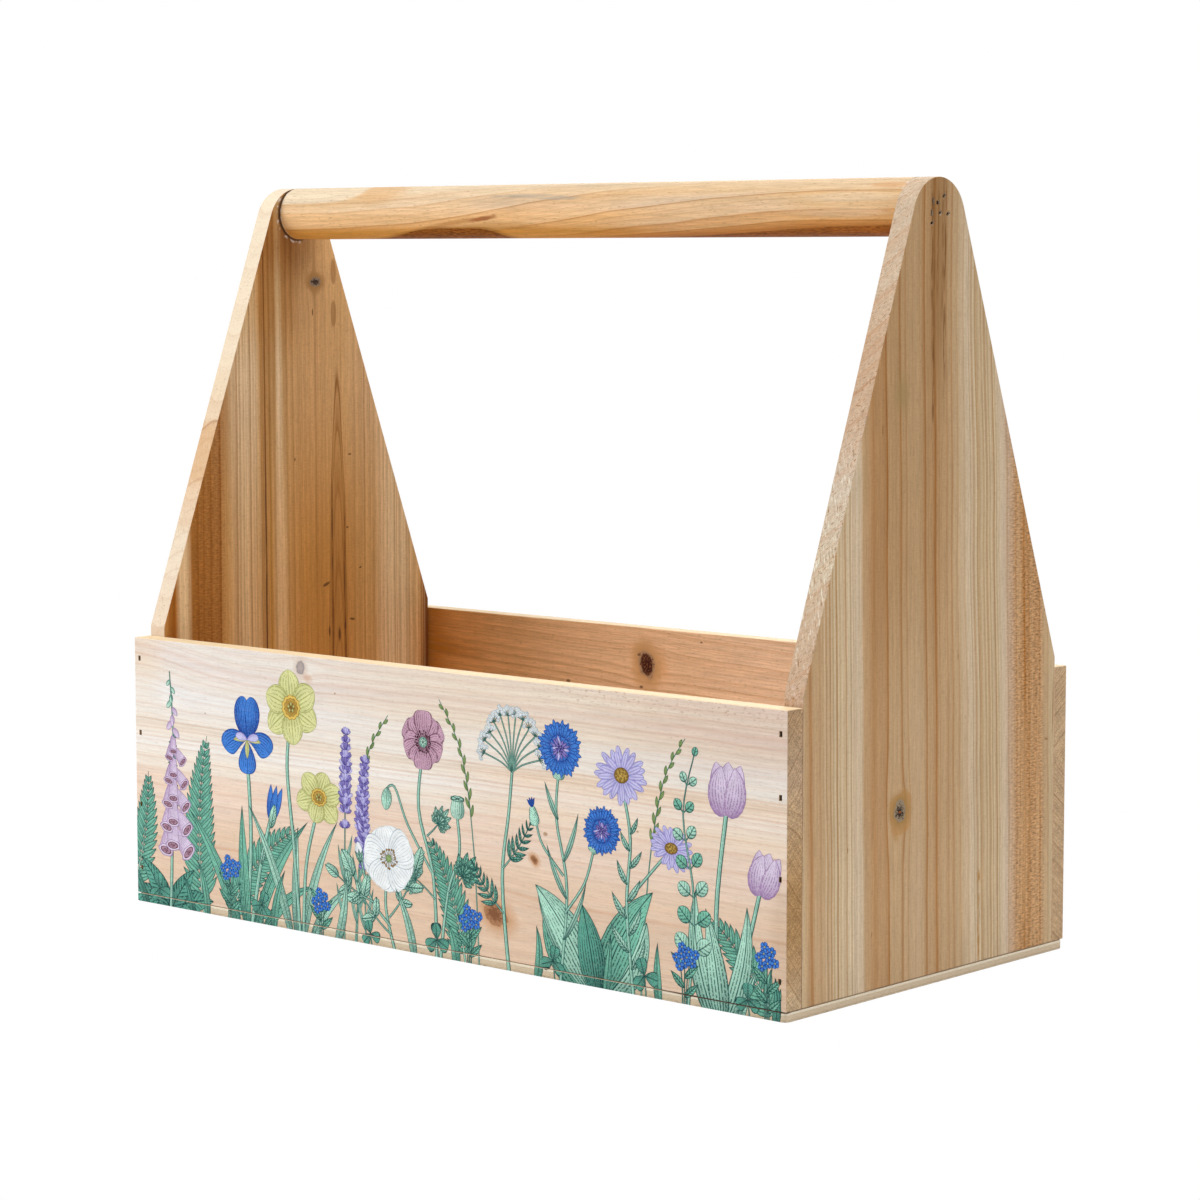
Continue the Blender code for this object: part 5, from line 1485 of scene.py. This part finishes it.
    # Wild rose in front of the others
    art.stem([(-24, -2), (-30, 18), (-29, 36)], 1.9, 1.6)
    art.stem([(-27, 10), (-40, 22), (-46, 40)], 1.6, 1.3)
    rose_leaf(-26, 6, 152, 36, -34)
    rose_leaf(-28, 14, 44, 30, 22)
    rose_leaf(-38, 20, 168, 25, -20)
    art.leaf(-46.5, 38, 100, 8.5, 5, 0, WHITE_INK, 0.6, 0.6, 8, (0, 0, 3), 0.5, 0, 0.3)
    for turn in (-24, 0, 24):
        art.leaf(-46, 37, 102 + turn, 6.4, 2.2, 0, LEAF_INK)
    wild_rose(-28, 41, 1.4, 0.92, 4)
    # Small plants along the bottom
    for x in (-192, -160, -150, -104, -62, -12, 14, 62, 102, 132, 176, 194):
        blade(x, -3, 90 + chance.uniform(-22, 22), chance.uniform(20, 34), chance.uniform(4.2, 5.6),
              chance.uniform(-36, 36), chance.choice((TEAL_INK, LEAF_INK, DEEP_INK)))
    for x, z, spread, count in ((-134, 24, 6.5, 9), (-72, 16, 6, 8), (22, 20, 6.5, 9), (146, 20, 6.5, 9),
                                (190, 26, 6, 8)):
        for k in range(3):
            art.stem([(x + k - 1, -2), (x + (k - 1) * 1.4, z * 0.5), (x + (k - 1) * 3.2, z)], 0.8, 0.5)
        for k in range(4):
            art.leaf(x, 3 + 4 * k, 90 + (1 if k % 2 else -1) * 50, 10, 3.6, 0, TEAL_INK)
        little_flowers(x, z, spread, count)
    for x, z, size, turn in ((-184, 8, 1.1, 10), (-112, 9, 1.0, -20), (-40, 5, 0.9, 15), (2, 8, 1.1, 5),
                             (72, 8, 1.0, -12), (124, 9, 1.1, 20), (180, 7, 1.0, 0)):
        art.stem([(x + 1, -2), (x, z)], 0.9, 0.7)
        clover(x, z, size, turn)


def printed_ink():
    """Ink on bare wood: a light tone, drawn over in a dark one. The grain shows through a little."""
    graph = Graph("printed_ink")
    grain = Grain(graph, "Z", "X", "Y")

    def layer(name):
        node = graph.node("Attribute", {}, attribute_name=name)
        return graph.out(node, "Color"), graph.out(node, "Alpha")

    light, shade = layer("ink_light")
    dark, rib_strength = layer("ink_dark")
    marks, strength = layer("ink_marks")
    split = graph.node("SeparateColor", {"Color": marks})
    edge, rib, phase = (graph.out(split, key) for key in ("Red", "Green", "Blue"))
    uneven = grain.noise(0.5, 0.5, seed=81.0, detail=1.0)
    outline = fade(edge + (uneven - 0.5) * 0.25, 0.17, 0.48, 0.92, 0.0)
    ribs = fade(rib, 0.12, 0.42, 0.95, 0.0) * rib_strength
    ridge = abs(graph.math("FRACT", phase) - 0.5) * 2.0
    start = 0.66 - shade * 0.74
    broken = fade(grain.noise(0.8, 0.8, seed=82.0, detail=2.0), 0.4, 0.5)
    hatch = fade(ridge, start, start + 0.28) * strength * broken
    left = (1.0 - outline) * (1.0 - ribs) * (1.0 - hatch) * (1.0 - shade * 0.92)
    colour = graph.mix(dark, light, left)
    watery = grain.noise(4.0, 5.0, seed=83.0, detail=3.0)
    colour.tint(1.0 + (watery - 0.5) * 0.42)
    fibres = fade(grain.noise(0.3, 7.0, seed=84.0, detail=3.0, roughness=0.7), 0.5, 0.8)
    colour.over(PEACH, fibres * 0.14)
    return grain.surface(colour, roughness=0.58, specular=0.12, depth=0.00003)


PRINT_LIFT_MM = 0.06  # how far the print stands off the wood
PRINT_EDGE_MM = (0.15, 0.1)  # how far it keeps from the boards' and from the base's rounded edges
HOLE_RIM_MM = 0.15  # how far it keeps from a brad
CUT_REACH_MM = 10  # how far the cut between its halves runs past it
MAP_MARGIN = 0.01  # the bare rim of the print's map
GLUE_INSET = 0.00001  # how far a glue line lies behind the boards' faces, in metres


def add_print():
    """The meadow on the front board, continued on the base's edge."""
    lower, upper, base = (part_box(name) for name in ("front_board_lower", "front_board_upper", "base_board"))

    def millimetres(low, high, margin):
        return (low.x * 1000 + margin, low.z * 1000 + margin, high.x * 1000 - margin, high.z * 1000 - margin)

    windows = [millimetres(lower[0], upper[1], PRINT_EDGE_MM[0]), millimetres(*base, PRINT_EDGE_MM[1])]
    heads = [name for name in nodes if name.startswith("front_") and "_brad_" in name]
    holes = [millimetres(*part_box(name), -HOLE_RIM_MM) for name in heads]
    half, top = windows[0][2], windows[0][3]

    def map_place(points, centres):
        """The left half in the map's lower row, the right half in its upper row."""
        row = (centres[:, :1] > 0).astype(float)
        across = (points[:, :1] + half * (1 - row)) / half
        return np.hstack((across, (points[:, 1:] / top + row) / 2)) * (1 - 2 * MAP_MARGIN) + MAP_MARGIN

    middle = [((0, -CUT_REACH_MM), (0, top + CUT_REACH_MM))]
    mesh = art.make_mesh("floral_print", lower[0].y * 1000 - PRINT_LIFT_MM, windows, holes, middle, map_place)
    mesh.materials.append(printed_ink())
    picture = bpy.data.objects.new("floral_print", mesh)
    scene.collection.objects.link(picture)
    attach(picture, "root")


def add_glue_line(side, wood):
    """The glue between a board's two strips, a hair thick and a hair behind their faces."""
    lower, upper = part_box(side + "_board_lower"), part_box(side + "_board_upper")
    low = (lower[0].x + GLUE_INSET, lower[0].y + GLUE_INSET, lower[1].z - GLUE_INSET)
    high = (lower[1].x - GLUE_INSET, lower[1].y - GLUE_INSET, upper[0].z + GLUE_INSET)
    bm = bmesh.new()
    bmesh.ops.create_cube(bm, size=1.0)
    for vertex in bm.verts:
        vertex.co = [a if c < 0 else b for c, a, b in zip(vertex.co, low, high)]
    mesh = bpy.data.meshes.new("glue_line_" + side)
    bm.to_mesh(mesh)
    bm.free()
    mesh.materials.append(wood)
    strip = bpy.data.objects.new("glue_line_" + side, mesh)
    scene.collection.objects.link(strip)
    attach(strip, "root")
    side + "_board"


def put_material(node, material):
    piece = nodes[node]
    piece.data.materials.clear()
    piece.data.materials.append(material)


# The studio, in metres and watts
FILL_STRENGTH = 0.212  # the room's light where the camera doesn't look
FLOOR_REACH = (1.3, 1.3)
FLOOR_OPENING = (0.199, 0.0995)
FLOOR_GAP = 0.0002  # between the floor and the base
FLOOR_PAINT = (0.75, 0.75, 0.75)
LIGHTS = {  # place, target, size, power
    "key": ((-1.25, -1.35, 1.15), (-0.05, 0, 0.12), (1.2, 1.0), 28.8),
    "top": ((0.55, -0.05, 1.75), (0, 0, 0.1), (1.5, 1.5), 24),
    "back": ((-0.8, 1.5, 0.8), (0, 0, 0.15), (1.2, 1.0), 15.4),
    "side": ((1.8, -0.35, 0.16), (0.1, 0, 0.08), (0.9, 0.5), 5.95),
}


def add_camera():
    data = bpy.data.cameras.new("camera")
    data.sensor_fit = "HORIZONTAL"
    data.sensor_width = SENSOR_MM
    data.lens = FOCAL_LENGTH_MM
    data.clip_start = 0.05
    camera = bpy.data.objects.new("camera", data)
    scene.collection.objects.link(camera)
    turn = Euler((math.pi / 2 - CAMERA_PITCH, 0, CAMERA_YAW)).to_matrix().to_4x4()
    roll = Matrix.Rotation(CAMERA_ROLL, 4, "Z")
    camera.matrix_world = Matrix.Translation(CAMERA_PLACE) @ turn @ roll
    scene.camera = camera


def add_light(name, place, target, size, power):
    """An oblong light, size across, aimed at a target."""
    data = bpy.data.lights.new(name, "AREA")
    data.shape = "RECTANGLE"
    data.size, data.size_y = size
    data.energy = power
    light = bpy.data.objects.new(name, data)
    scene.collection.objects.link(light)
    aim = Vector(target) - Vector(place)
    light.matrix_world = Matrix.Translation(place) @ aim.to_track_quat("-Z", "Y").to_matrix().to_4x4()


def add_studio():
    """A plain white room: the camera sees it white, and it fills the shadows with softer light."""
    world = bpy.data.worlds.new("studio")
    scene.world = world
    world.use_nodes = True
    tree = world.node_tree
    tree.nodes.clear()
    path = tree.nodes.new("ShaderNodeLightPath")
    mix = tree.nodes.new("ShaderNodeMixShader")
    output = tree.nodes.new("ShaderNodeOutputWorld")
    tree.links.new(path.outputs["Is Camera Ray"], mix.inputs[0])
    tree.links.new(mix.outputs[0], output.inputs[0])
    for socket, strength in ((mix.inputs[1], FILL_STRENGTH), (mix.inputs[2], 1.0)):
        white = tree.nodes.new("ShaderNodeBackground")
        white.inputs["Color"].default_value = (1, 1, 1, 1)
        white.inputs["Strength"].default_value = strength
        tree.links.new(white.outputs[0], socket)
    scene.view_settings.view_transform = "Standard"


def add_floor():
    """A white floor that only throws light back, since the photo is cut out on plain white.

    It is open where the box stands, so that the fill light reaches the underside.
    """
    corners = ((-1, -1), (1, -1), (1, 1), (-1, 1))
    places = [(x * w, y * d, 0) for w, d in (FLOOR_REACH, FLOOR_OPENING) for x, y in corners]
    sides = [(i, (i + 1) % 4, 4 + (i + 1) % 4, 4 + i) for i in range(4)]
    mesh = bpy.data.meshes.new("floor")
    mesh.from_pydata(places, [], sides)
    floor = bpy.data.objects.new("floor", mesh)
    floor.location = (0, 0, -FLOOR_GAP)
    scene.collection.objects.link(floor)
    mesh.materials.append(Graph("floor_paint").surface(FLOOR_PAINT, 0.9))
    floor.visible_camera = False


add_camera()
add_studio()
add_floor()
for name, light in LIGHTS.items():
    add_light(name, *light)

steel = brad_steel()
for side, wood in (("front", front_board_wood()), ("back", back_board_wood())):
    put_material(side + "_board_lower", wood)
    put_material(side + "_board_upper", wood)
    add_glue_line(side, wood)
put_material("left_end_panel", left_panel_wood())
put_material("right_end_panel", right_panel_wood())
put_material("base_board", plywood())
put_material("handle", handle_wood())
for name in nodes:
    if "_brad_" in name:
        put_material(name, steel)

draw_meadow()
add_print()
